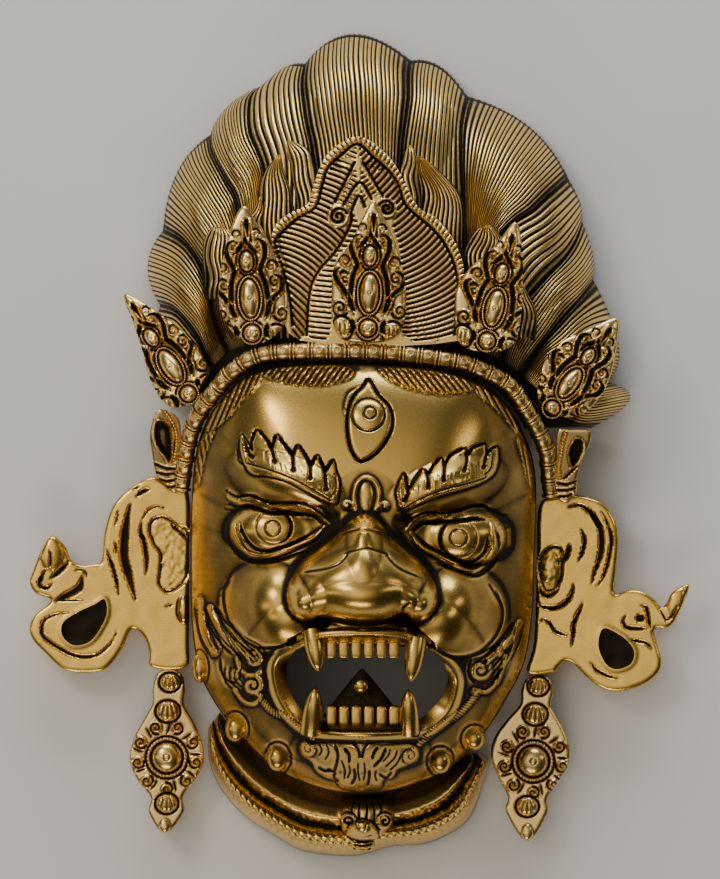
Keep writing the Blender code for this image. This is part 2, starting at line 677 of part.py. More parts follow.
def buildHair(parts, tools, material):
    outer = hairOuterLine()
    columns = len(outer) - 1
    mesh = bmesh.new()
    bmesh.ops.create_grid(mesh, x_segments=columns, y_segments=hairRows + 1, size=1.0)
    for vertex in mesh.verts:
        column = int(round((vertex.co.x + 1) / 2 * columns))
        row = int(round((vertex.co.y + 1) / 2 * (hairRows + 1)))
        share = min(row / hairRows, 1.0)
        share = share * (1 + hairCrowding - hairCrowding * share)
        reach = outer[column] - np.array(hairCentre)
        angle = math.atan2(reach[1], reach[0])
        inner = faceEdgeOnRay(hairCentre, angle, pieceGap + hairGap)
        radius = inner + (math.hypot(*reach) - inner) * share
        ray = np.array((math.cos(angle), math.sin(angle)))
        edge = np.array(hairCentre) + inner * ray - np.array(faceCentre)
        root = float(wallTop(math.atan2(edge[1], edge[0]))) - hairBelowBand
        swell = math.sqrt(math.sin(math.pi * (column % hairStepsPerLock) / hairStepsPerLock))
        height = hairRim + (root - hairRim) * max(1 - share ** hairPower, 0.0) ** hairRound
        grown = min(max(share - lockSwellStart, 0.0) * lockSwellGrowth, 1.0)
        height += (swell - 0.5) * lockSwell * grown * (1 - share ** lockSwellFade)
        if row > hairRows:
            height = 0.0
        spot = np.array(hairCentre) + radius * ray
        vertex.co = Vector((spot[0], spot[1], height)) * millimetre
    hair = finishMesh(mesh, "hair", parts, material)
    if hair.data.polygons[0].normal.z < 0:
        hair.data.flip_normals()
    shell = hair.modifiers.new("shell", "SOLIDIFY")
    shell.thickness = hairThickness * millimetre
    shell.offset = -1.0
    crest = flatPiece("hairCrest", crestOutline, crestLow, crestThickness, tools)
    lean(crest, crestAt, 0.0, crestSlope)
    combine(hair, crest, "UNION")
    return hair


def buildBand(parts, material):
    line = smoothLine(bandLine, 6, False)
    steps = np.hypot(*np.diff(line, axis=0).T)
    along = np.concatenate(([0.0], np.cumsum(steps)))
    beads = int(round(along[-1] / bandPitch))
    stations = []
    for bead in range(beads):
        stations += [(bead + place, width) for place, width in beadProfile]
    curve = bpy.data.curves.new("headbandCurve", "CURVE")
    curve.dimensions = "3D"
    curve.bevel_depth = bandRadius * millimetre
    curve.bevel_resolution = 2
    curve.use_fill_caps = True
    spline = curve.splines.new("POLY")
    spline.points.add(len(stations) - 1)
    for point, (place, width) in zip(spline.points, stations):
        distance = place / beads * along[-1]
        x, y = np.interp(distance, along, line[:, 0]), np.interp(distance, along, line[:, 1])
        angle = math.atan2(y - faceCentre[1], x - faceCentre[0])
        reach = math.hypot(x - faceCentre[0], y - faceCentre[1])
        reach = max(reach, float(radiusAt(faceRadii, angle)) + (bandRadius + pieceGap) * bandClearance)
        x, y = faceCentre[0] + reach * math.cos(angle), faceCentre[1] + reach * math.sin(angle)
        point.co = (x * millimetre, y * millimetre, (float(wallTop(angle)) + bandLift) * millimetre, 1.0)
        point.radius = width
    thing = bpy.data.objects.new("headbandCurve", curve)
    parts.objects.link(thing)
    return curveToMesh(thing, "headband", parts, material)


def buildLeaf(name, sizes, parts, tools, material):
    leaf = flatPiece(name, sizes["outline"], sizes["height"], leafThickness, parts, material)
    lean(leaf, sizes["at"], sizes["right"], sizes["up"])
    outline = np.array(sizes["outline"])
    middle = outline.mean(axis=0)
    raised = flatPiece(name + "Raised", middle + (outline - middle) * leafRaisedShare,
                       sizes["height"] + leafRaisedSink, leafThickness + leafProud - leafRaisedSink, tools)
    lean(raised, sizes["at"], sizes["right"], sizes["up"])
    combine(leaf, raised, "UNION")
    for part in ("long", "round"):
        centre, (halfWidth, halfHeight) = sizes[part]
        level = sizes["height"] + leafThickness + leafProud - bossSink
        boss = ball(name + part, centre, (halfWidth, halfHeight, bossRise), level, tools, *smallSides)
        lean(boss, sizes["at"], sizes["right"], sizes["up"])
        combine(leaf, boss, "UNION")
    return leaf


def buildOrnament(name, sizes, parts, material):
    panel = flatPiece(name, sizes["outline"], sizes["height"], ornamentThickness, parts, material, 2)
    lean(panel, sizes["at"], sizes["right"], sizes["up"])
    return panel


def buildEar(name, sizes, parts, material):
    return flatPiece(name, sizes["outline"], earLow, earThickness, parts, material, holes=(sizes["hole"],))


def buildPendant(name, sizes, parts, tools, material):
    pendant = flatPiece(name, sizes["outline"], pendantLow, pendantThickness, parts, material)
    top = pendantLow + pendantThickness - bossSink
    combine(pendant, ball(name + "Boss", sizes["boss"], pendantBoss, top, tools), "UNION")
    for index, bud in enumerate(sizes["buds"]):
        combine(pendant, ball("%sBud%d" % (name, index), bud, pendantBud, top, tools, *smallSides), "UNION")
    return pendant


def buildSerpent(parts, tools, material):
    outer = smoothLine(collarOuter, 6, False)
    along = np.concatenate(([0.0], np.cumsum(np.hypot(*np.diff(outer, axis=0).T))))
    startAngle = math.atan2(collarStart[1] - faceCentre[1], collarStart[0] - faceCentre[0])
    finishAngle = math.atan2(collarFinish[1] - faceCentre[1], collarFinish[0] - faceCentre[0])
    rows = len(collarHeights) - 1
    mesh = bmesh.new()
    bmesh.ops.create_grid(mesh, x_segments=collarSteps, y_segments=rows, size=1.0)
    for vertex in mesh.verts:
        place = (vertex.co.x + 1) / 2
        row = int(round((vertex.co.y + 1) / 2 * rows))
        edge = np.array((np.interp(place * along[-1], along, outer[:, 0]),
                         np.interp(place * along[-1], along, outer[:, 1])))
        angle = startAngle + (finishAngle - startAngle) * place
        radius = float(radiusAt(faceRadii, angle)) + pieceGap
        root = np.array(faceCentre) + radius * np.array((math.cos(angle), math.sin(angle)))
        point = root + (edge - root) * collarShares[row]
        vertex.co = Vector((point[0], point[1], collarHeights[row])) * millimetre
    collar = finishMesh(mesh, "serpent", parts, material)
    if sum(polygon.normal.z * polygon.area for polygon in collar.data.polygons) < 0:
        collar.data.flip_normals()
    shell = collar.modifiers.new("shell", "SOLIDIFY")
    shell.thickness = collarThickness * millimetre
    shell.offset = -1.0
    at, halves, level = serpentHead
    combine(collar, ball("serpentHead", at, halves, level, tools, *serpentHeadSides), "UNION")
    return collar


def main():
    startEmpty()
    parts = newCollection("brassMask")
    tools = newCollection("maskTools")
    buildFace(parts, tools, brassMaterial("faceBrass", facePolish))
    buildHair(parts, tools, brassMaterial("hairBrass", hairPolish))
    buildBand(parts, brassMaterial("headbandBrass", ornamentPolish))
    for name, sizes in leaves.items():
        buildLeaf(name, sizes, parts, tools, brassMaterial(name + "Brass", ornamentPolish))
    for name, sizes in sideOrnaments.items():
        buildOrnament(name, sizes, parts, brassMaterial(name + "Brass", ornamentPolish))
    for name, sizes in ears.items():
        buildEar(name, sizes, parts, brassMaterial(name + "Brass", earPolish))
    for name, sizes in pendants.items():
        buildPendant(name, sizes, parts, tools, brassMaterial(name + "Brass", ornamentPolish))
    buildSerpent(parts, tools, brassMaterial("serpentBrass", hairPolish))
    hideTools(tools)


main()
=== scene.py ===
import math

import bpy
import numpy as np
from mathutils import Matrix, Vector
from mathutils.geometry import delaunay_2d_cdt


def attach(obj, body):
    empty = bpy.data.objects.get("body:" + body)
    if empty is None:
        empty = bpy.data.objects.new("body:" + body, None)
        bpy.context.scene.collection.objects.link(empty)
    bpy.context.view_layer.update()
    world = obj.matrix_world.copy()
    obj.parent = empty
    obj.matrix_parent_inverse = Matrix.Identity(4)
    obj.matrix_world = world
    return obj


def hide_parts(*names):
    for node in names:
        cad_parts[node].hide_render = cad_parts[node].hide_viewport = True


# Brass mask of a wrathful guardian, lying on its back under the camera. X is right, Y is up the face and Z
# comes out of it. Points and sizes here are millimetres, and metre turns them into what Blender holds.
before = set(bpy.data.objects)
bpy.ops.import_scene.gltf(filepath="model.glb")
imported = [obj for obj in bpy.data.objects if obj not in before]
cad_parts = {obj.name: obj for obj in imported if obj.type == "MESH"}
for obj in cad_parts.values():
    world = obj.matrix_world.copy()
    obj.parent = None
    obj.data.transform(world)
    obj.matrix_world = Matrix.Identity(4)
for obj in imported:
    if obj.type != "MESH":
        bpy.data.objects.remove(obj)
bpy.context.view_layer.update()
metre = 0.001

# Camera and light
view = {
    "distance": 12000.0, "lens": 982.9, "sensor": 36.0, "middleX": 0.0, "middleY": 2.25,
    "floorSize": 6000.0, "floorColour": (0.97, 0.97, 0.965),
}
# Sky round the mask: dim at the sides, warm overhead and to the left, cool beyond the top of the mask
sky = {
    "dim": 0.025, "over": 1.2, "overAt": (-0.26, 0.12, 0.95), "overSpread": 7.5,
    "top": 0.30, "topSpread": 5.0, "warm": (1.0, 0.93, 0.80), "cool": (0.84, 0.92, 1.0),
}
lamps = {
    "keyUpperLeft": {"at": (-950, 900, 1300), "size": (520, 520), "power": 6.0, "colour": (1.0, 0.93, 0.80)},
    "coolTop": {"at": (60, 1500, 520), "size": (1300, 400), "power": 13.0, "colour": (0.84, 0.92, 1.0)},
    "warmLeft": {"at": (-1500, -100, 1000), "size": (260, 700), "power": 0.9, "colour": (1.0, 0.88, 0.70)},
    "fillRight": {"at": (1400, 500, 1000), "size": (260, 600), "power": 1.4, "colour": (1.0, 0.90, 0.74)},
    "fillBelow": {"at": (-200, -1400, 800), "size": (900, 260), "power": 5.0, "colour": (1.0, 0.88, 0.70)},
}


def setCamera():
    data = bpy.data.cameras.new("camera")
    data.lens = view["lens"]
    data.sensor_width = view["sensor"]
    data.clip_end = 100.0
    camera = bpy.data.objects.new("camera", data)
    camera.location = Vector((view["middleX"], view["middleY"], view["distance"])) * metre
    bpy.context.scene.collection.objects.link(camera)
    bpy.context.scene.camera = camera


def setLamps():
    target = Vector((0, 0, 60)) * metre
    for name, lamp in lamps.items():
        data = bpy.data.lights.new(name, "AREA")
        data.shape = "RECTANGLE"
        data.size = lamp["size"][0] * metre
        data.size_y = lamp["size"][1] * metre
        data.energy = lamp["power"]
        data.color = lamp["colour"]
        light = bpy.data.objects.new(name, data)
        light.location = Vector(lamp["at"]) * metre
        light.rotation_euler = (target - light.location).to_track_quat("-Z", "Y").to_euler()
        bpy.context.scene.collection.objects.link(light)


# Shader maths: a Signal is a socket that takes part in Python expressions, a Finish is one material
class Signal:
    def __init__(self, finish, socket):
        self.finish = finish
        self.socket = socket

    def maths(self, operation, first, second):
        return self.finish.node("ShaderNodeMath", {"operation": operation}, {0: first, 1: second})

    def __add__(self, other):
        return self.maths("ADD", self, other)

    def __radd__(self, other):
        return self.maths("ADD", other, self)

    def __sub__(self, other):
        return self.maths("SUBTRACT", self, other)

    def __rsub__(self, other):
        return self.maths("SUBTRACT", other, self)

    def __mul__(self, other):
        return self.maths("MULTIPLY", self, other)

    def __rmul__(self, other):
        return self.maths("MULTIPLY", other, self)

    def __pow__(self, other):
        return self.maths("POWER", self, other)


class Finish:
    def __init__(self, owner, shader="Principled BSDF"):
        owner.use_nodes = True
        self.material = owner
        self.tree = owner.node_tree
        self.shader = self.tree.nodes[shader]

    def node(self, kind, settings=None, sockets=None, output=0):
        made = self.tree.nodes.new(kind)
        for setting, value in (settings or {}).items():
            if setting == "stops":
                self.setStops(made.color_ramp, value)
            else:
                setattr(made, setting, value)
        for socket, value in (sockets or {}).items():
            self.feed(made.inputs[socket], value)
        return Signal(self, made.outputs[output])

    def setStops(self, ramp, stops):
        while len(ramp.elements) < len(stops):
            ramp.elements.new(1.0)
        for element, (position, colour) in zip(ramp.elements, stops):
            element.position = position
            element.color = (*colour, 1.0)

    def feed(self, socket, value):
        if isinstance(value, Signal):
            self.tree.links.new(value.socket, socket)
        elif isinstance(value, tuple) and len(value) == 3 and socket.type == "RGBA":
            socket.default_value = (*value, 1.0)
        else:
            socket.default_value = value

    def shade(self, sockets):
        for socket, value in sockets.items():
            self.feed(self.shader.inputs[socket], value)


def setSky():
    world = bpy.data.worlds.new("sky")
    bpy.context.scene.world = world
    finish = Finish(world, "Background")
    direction = finish.node("ShaderNodeTexCoord")
    split = finish.node("ShaderNodeSeparateXYZ", sockets={"Vector": direction})
    x, y, z = [Signal(finish, split.socket.node.outputs[axis]) for axis in (0, 1, 2)]
    top = finish.node("ShaderNodeMath", {"operation": "MAXIMUM"}, {0: y, 1: 0.0})
    toward = x * sky["overAt"][0] + y * sky["overAt"][1] + z * sky["overAt"][2]
    over = finish.node("ShaderNodeMath", {"operation": "MAXIMUM"}, {0: toward, 1: 0.0})
    warmth = sky["dim"] + sky["over"] * over ** sky["overSpread"]
    cool = sky["top"] * top ** sky["topSpread"]
    share = finish.node("ShaderNodeMapRange", {}, {"Value": cool - warmth, "From Min": -0.2, "From Max": 0.2})
    colour = finish.node("ShaderNodeMix", {"data_type": "RGBA"}, {"Factor": share, 6: sky["warm"], 7: sky["cool"]}, output=2)
    finish.shade({"Color": colour, "Strength": warmth + cool})


# Four looks of the one brass, each with its own brightness to match how brightly that part is lit. They are lit and
# shaded copies: painted light on the ears and ornaments, painted shade on the face. The warm colour is where tarnish
# and painted shade take the brass; on the face it is dark brown
brassLooks = {
    "face_brass": {
        "high": (0.74, 0.475, 0.12), "warm": (0.13, 0.078, 0.018), "recess": (0.014, 0.009, 0.004),
        "roughness": 0.27, "recessRoughness": 0.55, "darkening": 1.0, "tarnishAndShade": 0.85, "brush": 0.06, "bump": 0.10,
    },
    "ornament_brass": {
        "high": (0.95, 0.67, 0.26), "warm": (0.40, 0.265, 0.085), "recess": (0.014, 0.009, 0.004),
        "roughness": 0.28, "recessRoughness": 0.58, "darkening": 0.95, "tarnishAndShade": 0.8, "brush": 0.05, "bump": 0.16,
    },
    "hair_brass": {
        "high": (0.88, 0.60, 0.20), "warm": (0.40, 0.255, 0.075), "recess": (0.010, 0.007, 0.004),
        "roughness": 0.28, "recessRoughness": 0.55, "darkening": 1.5, "tarnishAndShade": 0.6, "brush": 0.05, "bump": 0.16,
    },
    "ear_brass": {
        "high": (1.0, 0.64, 0.14), "warm": (0.46, 0.27, 0.06), "recess": (0.018, 0.011, 0.005),
        "roughness": 0.27, "recessRoughness": 0.55, "darkening": 1.0, "tarnishAndShade": 0.15, "brush": 0.16, "bump": 0.12,
    },
}


def brassFinish(name):
    # Polished brass on the heights, brown tarnish in patches and black patina in the recesses. The per-point patina
    # value also carries painted shade, which these same mixes turn brown and black
    look = brassLooks[name]
    finish = Finish(bpy.data.materials.new(name))
    place = finish.node("ShaderNodeTexCoord", output=3)
    patina = finish.node("ShaderNodeAttribute", {"attribute_name": "patina"}, output=2)
    cloud = finish.node("ShaderNodeTexNoise", sockets={"Vector": place, "Scale": 45.0, "Detail": 5.0, "Roughness": 0.6})
    grain = finish.node("ShaderNodeTexNoise", sockets={"Vector": place, "Scale": 900.0, "Detail": 3.0})
    stretched = finish.node("ShaderNodeMapping", sockets={
        "Vector": place, "Rotation": (0.0, 0.0, 0.5), "Scale": (0.06, 1.0, 1.0)})
    brushed = finish.node("ShaderNodeTexNoise", sockets={"Vector": stretched, "Scale": 2600.0, "Detail": 2.0})
    edge = patina * look["darkening"] + (grain - 0.5) * 0.35 + (cloud - 0.5) * 0.25
    dark = finish.node("ShaderNodeMapRange", {"interpolation_type": "SMOOTHSTEP"}, {
        "Value": edge, "From Min": 0.38, "From Max": 0.80})
    stainAndShade = finish.node("ShaderNodeMapRange", {"interpolation_type": "SMOOTHSTEP"}, {
        "Value": patina + (cloud - 0.5) * 0.45 + (grain - 0.5) * 0.12, "From Min": 0.06, "From Max": 0.46,
        "To Max": look["tarnishAndShade"]})
    metal = finish.node("ShaderNodeMix", {"data_type": "RGBA"}, {
        "Factor": stainAndShade, 6: look["high"], 7: look["warm"]}, output=2)
    colour = finish.node("ShaderNodeMix", {"data_type": "RGBA"}, {
        "Factor": dark, 6: metal, 7: look["recess"]}, output=2)
    rough = (look["roughness"] + stainAndShade * 0.12 + (brushed - 0.5) * look["brush"] + (grain - 0.5) * 0.05
             + dark * (look["recessRoughness"] - look["roughness"]))
    height = grain * 0.55 + brushed * 0.25 + cloud * 0.2
    bump = finish.node("ShaderNodeBump", sockets={"Height": height, "Strength": look["bump"], "Distance": 0.0004})
    finish.shade({"Base Color": colour, "Roughness": rough, "Metallic": 1.0 - dark * 0.35, "Normal": bump})
    return finish.material


# Lines and shapes in the plane of the mask
def smoothLine(points, steps=6, closed=False):
    # Points of a smooth curve through the given ones
    points = np.array(points, dtype=float)
    count = len(points)
    line = []
    for span in range(count if closed else count - 1):
        picks = [span - 1, span, span + 1, span + 2]
        picks = [pick % count for pick in picks] if closed else [min(max(pick, 0), count - 1) for pick in picks]
        before, start, end, after = points[picks]
        for step in range(steps):
            t = step / steps
            line.append(0.5 * (2 * start + (end - before) * t + (2 * before - 5 * start + 4 * end - after) * t ** 2
                               + (3 * start - before - 3 * end + after) * t ** 3))
    if not closed:
        line.append(points[-1])
    return np.array(line)


def lengthsAlong(line, closed=False):
    ends = np.vstack([line, line[:1]]) if closed else line
    return np.concatenate([[0.0], np.cumsum(np.linalg.norm(np.diff(ends, axis=0), axis=1))])


def spaced(line, pitch, closed=False):
    # The same line with points an even distance apart
    line = np.array(line, dtype=float)
    ends = np.vstack([line, line[:1]]) if closed else line
    along = lengthsAlong(line, closed)
    count = max(int(round(along[-1] / pitch)), 3 if closed else 1)
    marks = np.linspace(0, along[-1], count + 1)
    marks = marks[:-1] if closed else marks
    return np.stack([np.interp(marks, along, ends[:, axis]) for axis in range(line.shape[1])], axis=1)


def counterClockwise(line):
    following = np.roll(line, -1, axis=0)
    area = np.sum(line[:, 0] * following[:, 1] - following[:, 0] * line[:, 1])
    return line if area > 0 else line[::-1]


def moved(line, distance):
    # A closed counter-clockwise line moved inwards
    along = np.roll(line, -1, axis=0) - np.roll(line, 1, axis=0)
    along /= np.maximum(np.linalg.norm(along, axis=1, keepdims=True), 1e-9)
    return line + distance * np.stack([-along[:, 1], along[:, 0]], axis=1)


def ring(centre, radius, count=48, stretch=1.0, turn=0.0):
    angles = np.arange(count) * 2 * math.pi / count
    x = radius * np.cos(angles)
    y = radius * stretch * np.sin(angles)
    c = math.cos(math.radians(turn))
    s = math.sin(math.radians(turn))
    return np.stack([centre[0] + x * c - y * s, centre[1] + x * s + y * c], axis=1)


def spiral(centre, radius, turns, start, inner=0.12, hand=1):
    # Coil that winds inwards from the start angle
    shares = np.linspace(0, 1, int(24 * turns) + 2)
    angles = math.radians(start) + hand * shares * turns * 2 * math.pi
    radii = radius * (1 - shares * (1 - inner))
    return np.stack([centre[0] + radii * np.cos(angles), centre[1] + radii * np.sin(angles)], axis=1)


def radiusTable(outline, centre):
    # How far a closed outline lies from its centre, as a function of the angle
    line = smoothLine(outline, 8, True) - np.array(centre)
    angles = np.arctan2(line[:, 1], line[:, 0])
    order = np.argsort(angles)
    return angles[order], np.hypot(line[:, 0], line[:, 1])[order]


def radiusAt(table, angle):
    return np.interp(angle, table[0], table[1], period=2 * math.pi)


def smoothHigher(first, second, blend):
    # The higher of two heights, rounded where they meet
    gap = np.clip(0.5 + 0.5 * (first - second) / blend, 0.0, 1.0)
    return second * (1 - gap) + first * gap + blend * gap * (1 - gap)


def ovalDepth(x, y, centre, halves, turn=0.0):
    # 1 in the middle of an oval, 0 on its edge and below outside
    c = math.cos(math.radians(turn))
    s = math.sin(math.radians(turn))
    along = ((x - centre[0]) * c + (y - centre[1]) * s) / halves[0]
    across = (-(x - centre[0]) * s + (y - centre[1]) * c) / halves[1]
    return 1 - along ** 2 - across ** 2


def blurred(values, reach):
    # Three passes of an even blur, reach cells to each side
    for axis in (0, 1):
        for turn in range(3):
            padding = [(0, 0), (0, 0)]
            padding[axis] = (reach + 1, reach)
            sums = np.cumsum(np.pad(values, padding, mode="edge"), axis=axis)
            if axis == 0:
                values = (sums[2 * reach + 1:] - sums[:-2 * reach - 1]) / (2 * reach + 1)
            else:
                values = (sums[:, 2 * reach + 1:] - sums[:, :-2 * reach - 1]) / (2 * reach + 1)
    return values


class Relief:
    # A map of heights over part of the mask's plane, which strokes, plates and swellings are worked into
    def __init__(self, points, margin=3.0, step=0.4):
        points = np.array(points, dtype=float)
        self.step = step
        self.low = points.min(axis=0) - margin
        counts = np.ceil((points.max(axis=0) + margin - self.low) / step).astype(int) + 1
        self.x, self.y = np.meshgrid(self.low[0] + step * np.arange(counts[0]), self.low[1] + step * np.arange(counts[1]))
        self.z = np.zeros_like(self.x)

    def window(self, points, reach):
        lows = np.maximum(np.floor((points.min(axis=0) - reach - self.low) / self.step).astype(int), 0)
        highs = np.maximum(np.ceil((points.max(axis=0) + reach - self.low) / self.step).astype(int) + 1, 0)
        return slice(lows[1], highs[1]), slice(lows[0], highs[0])

    def distance(self, line, reach, closed=False):
        # Window round a line, with the distance to it and the share of its length at the nearest point
        line = np.array(line, dtype=float)
        area = self.window(line, reach)
        near = np.full(self.z[area].shape, 1e6)
        share = np.zeros(near.shape)
        ends = np.vstack([line, line[:1]]) if closed else line
        along = lengthsAlong(line, closed)
        for index in range(len(ends) - 1):
            start = ends[index]
            step = ends[index + 1] - start
            square = max(float(step @ step), 1e-12)
            part = self.window(ends[index:index + 2], reach)
            inner = tuple(slice(part[axis].start - area[axis].start, part[axis].stop - area[axis].start) for axis in (0, 1))
            dx = self.x[part] - start[0]
            dy = self.y[part] - start[1]
            t = np.clip((dx * step[0] + dy * step[1]) / square, 0.0, 1.0)
            gap = np.hypot(dx - t * step[0], dy - t * step[1])
            closer = gap < near[inner]
            near[inner] = np.where(closer, gap, near[inner])
            share[inner] = np.where(closer, (along[index] + t * math.sqrt(square)) / along[-1], share[inner])
        return area, near, share

    def inside(self, loop):
        # True on the cells that a closed line goes round
        held = np.zeros(self.z.shape, dtype=bool)
        loop = np.array(loop, dtype=float)
        for (ax, ay), (bx, by) in zip(loop, np.roll(loop, -1, axis=0)):
            first = max(math.ceil((min(ay, by) - self.low[1]) / self.step), 0)
            last = min(math.ceil((max(ay, by) - self.low[1]) / self.step), held.shape[0])
            for row in range(first, last):
                level = self.low[1] + row * self.step
                crossing = ax + (level - ay) * (bx - ax) / (by - ay)
                column = max(math.ceil((crossing - self.low[0]) / self.step), 0)
                held[row, column:] ^= True
        return held

    def depthIn(self, loop, reach):
        # Distance to a closed line, above 0 inside it; beyond reach it stays at reach
        area, near, share = self.distance(loop, reach, True)
        depth = np.full(self.z.shape, reach, dtype=float)
        depth[area] = np.minimum(near, reach)
        return np.where(self.inside(loop), depth, -depth)

    def stroke(self, line, width, rise, closed=False, taper=0.0, power=0.8):
        # Rounded ridge, or groove where rise is below 0; taper is the share of the length that each end thins over
        area, near, share = self.distance(line, width, closed)
        widths = width
        amount = rise
        if taper:
            thin = np.clip(np.minimum(share, 1 - share) / taper, 0.0, 1.0)
            widths = width * (0.35 + 0.65 * thin)
            amount = rise * (0.25 + 0.75 * thin)
        self.z[area] += amount * np.maximum(1 - (near / widths) ** 2, 0) ** power

    def strokes(self, lines, width, rise, **more):
        for line in lines:
            self.stroke(line, width, rise, **more)

    def plate(self, loop, rise, bevel):
        # Raises everything inside a closed line, with a rounded edge bevel wide
        loop = np.array(loop, dtype=float)
        area = self.window(loop, bevel)
        depth = self.depthIn(loop, bevel)[area]
        self.z[area] += rise * np.sqrt(np.clip(1 - (1 - np.clip(depth / bevel, 0, 1)) ** 2, 0, 1))

    def swell(self, centre, halves, rise, turn=0.0, power=0.62):
        area = self.window(np.array([centre], dtype=float), max(halves))
        depth = ovalDepth(self.x[area], self.y[area], centre, halves, turn)
        self.z[area] += rise * np.maximum(depth, 0) ** power

    def recess(self, reach, scale):
        # How deep each cell lies below what is round it, from 0 on open ground to 1
        return np.clip((blurred(self.z, reach) - self.z) / scale, -1.0, 1.0)

    def at(self, points, layer):
        column = np.clip((points[:, 0] - self.low[0]) / self.step, 0, self.z.shape[1] - 1.001)
        row = np.clip((points[:, 1] - self.low[1]) / self.step, 0, self.z.shape[0] - 1.001)
        c = column.astype(int)
        r = row.astype(int)
        fc = column - c
        fr = row - r
        return ((layer[r, c] * (1 - fc) + layer[r, c + 1] * fc) * (1 - fr)
                + (layer[r + 1, c] * (1 - fc) + layer[r + 1, c + 1] * fc) * fr)


# Bodies: a body is its points, its faces and the patina and painted shade at each point
class Body:
    def __init__(self):
        self.points = []
        self.faces = []
        self.patina = []
        self.count = 0

    def add(self, points, faces, patina):
        points = np.array(points, dtype=float)
        self.points.append(points)
        self.patina.append(np.broadcast_to(np.array(patina, dtype=float), (len(points),)))
        self.faces.extend([tuple(int(corner) + self.count for corner in face) for face in faces])
        self.count += len(points)
        return self

    def piece(self, name, material, nodes=(), sharp=40.0):
        mesh = bpy.data.meshes.new(name)
        points = np.vstack(self.points) * metre
        mesh.from_pydata(points.tolist(), [], self.faces)
        patina = mesh.attributes.new("patina", "FLOAT", "POINT")
        patina.data.foreach_set("value", np.concatenate(self.patina).astype(np.float32))
        mesh.shade_smooth()
        mesh.set_sharp_from_angle(angle=math.radians(sharp))
        mesh.materials.append(material)
        thing = bpy.data.objects.new(name, mesh)
        bpy.context.scene.collection.objects.link(thing)
        finishPiece(thing, nodes)
        triangles = sum(len(face) - 2 for face in self.faces)
        print("%s: %d triangles" % (name, triangles))
        return thing


def finishPiece(thing, nodes=()):
    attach(thing, "root")
    if nodes:
        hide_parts(*nodes)


def triangulated(points, loops):
    # Triangles over points, inside the first loop and outside the others
    result = delaunay_2d_cdt([Vector(point) for point in points.tolist()], [], [loop.tolist() for loop in loops], 1, 1e-7)
    origin = [sources[0] for sources in result[3]]
    faces = [tuple(origin[corner] for corner in face) for face in result[2]]
    for loop in loops[1:]:
        members = set(loop.tolist())
        hole = points[loop]
        kept = []
        for face in faces:
            if members.issuperset(face) and insideLoop(points[list(face)].mean(axis=0), hole):
                continue
            kept.append(face)
        faces = kept
    return faces


def insideLoop(point, loop):
    ends = np.roll(loop, -1, axis=0)
    crosses = (loop[:, 1] > point[1]) != (ends[:, 1] > point[1])
    rise = np.where(crosses, ends[:, 1] - loop[:, 1], 1.0)
    reach = (ends[:, 0] - loop[:, 0]) * (point[1] - loop[:, 1]) / rise + loop[:, 0]
    return bool(np.sum(crosses & (point[0] < reach)) % 2)


def lattice(relief, pitch, keep):
    # Staggered points over a relief where keep is above 0.5
    low = relief.low
    high = np.array([relief.x.max(), relief.y.max()])
    rows = np.arange(low[1], high[1], pitch * 0.866)
    points = [np.stack([np.arange(low[0] + (index % 2) * pitch / 2, high[0], pitch), np.full(
        len(np.arange(low[0] + (index % 2) * pitch / 2, high[0], pitch)), level)], axis=1)
        for index, level in enumerate(rows)]
    points = np.vstack(points)
    return points[relief.at(points, keep.astype(float)) > 0.5]


def wall(first, second, outward=True):
    # Quads between two loops of points, given as rows of indices
    a = first
    b = np.roll(first, -1)
    c = np.roll(second, -1)
    d = second
    corners = (d, c, b, a) if outward else (a, b, c, d)
    return list(zip(*[corner.tolist() for corner in corners]))


def sheetBody(body, relief, outline, holes, rims, fine, coarse, detail, top, low, patina, lip=None, lowPitch=6.0):
    # Closed body between a top and a low surface. rims are distances in from the outline where the top gets
    # extra lines of points; fine and coarse are the pitches of the points in and outside the detail cells.
    # lip is the width of a flat back rim at z = 0 round a hollow.
    loops = [outline] + holes
    depth = relief.depthIn(outline, 4.0)
    for hole in holes:
        depth = np.minimum(depth, -relief.depthIn(hole, 4.0))
    innerLines = []
    for distance in rims:
        line = moved(outline, distance)
        innerLines.append(line[relief.at(line, depth) > distance * 0.8])
        for hole in holes:
            line = moved(hole, -distance)
            innerLines.append(line[relief.at(line, depth) > distance * 0.8])
    margin = (rims[-1] if rims else 0.0) + 0.3
    spread = [lattice(relief, fine, (depth > margin) & detail), lattice(relief, coarse, (depth > margin) & ~detail)]
    plane = np.vstack(loops + innerLines + spread)
    starts = np.cumsum([0] + [len(loop) for loop in loops])
    indices = [np.arange(starts[turn], starts[turn + 1]) for turn in range(len(loops))]
    faces = triangulated(plane, indices)
    topPoints = np.column_stack([plane, top(plane)])
    topShade = patina(plane)
    under = [loops[0] if lip is None else moved(outline, lip)] + holes
    lowDepth = depth - (lip or 0.0)
    lowPlane = np.vstack(under + [lattice(relief, lowPitch, lowDepth > min(lowPitch * 0.4, 2.5))])
    lowFaces = triangulated(lowPlane, indices)
    lowPoints = np.column_stack([lowPlane, low(lowPlane)])
    count = len(topPoints)
    points = [topPoints, lowPoints]
    quads = [tuple(reversed([corner + count for corner in face])) for face in lowFaces]
    for turn in range(1, len(loops)):
        quads += wall(indices[turn], indices[turn] + count, False)
    if lip is None:
        quads += wall(indices[0], indices[0] + count)
    else:
        outer = count + len(lowPoints) + np.arange(len(outline))
        inner = outer + len(outline)
        points.append(np.column_stack([outline, np.zeros(len(outline))]))
        points.append(np.column_stack([under[0], np.zeros(len(outline))]))
        quads += wall(indices[0], outer) + wall(outer, inner) + wall(inner, indices[0] + count)
    points = np.vstack(points)
    # Points on the back are painted fairly dark and those of the lip a little less: painted shade on the back and down
    # the side walls
    shade = np.full(len(points), 0.45)
    shade[:count] = topShade
    shade[count + len(lowPoints):] = 0.3
    return body.add(points, faces + quads, shade)


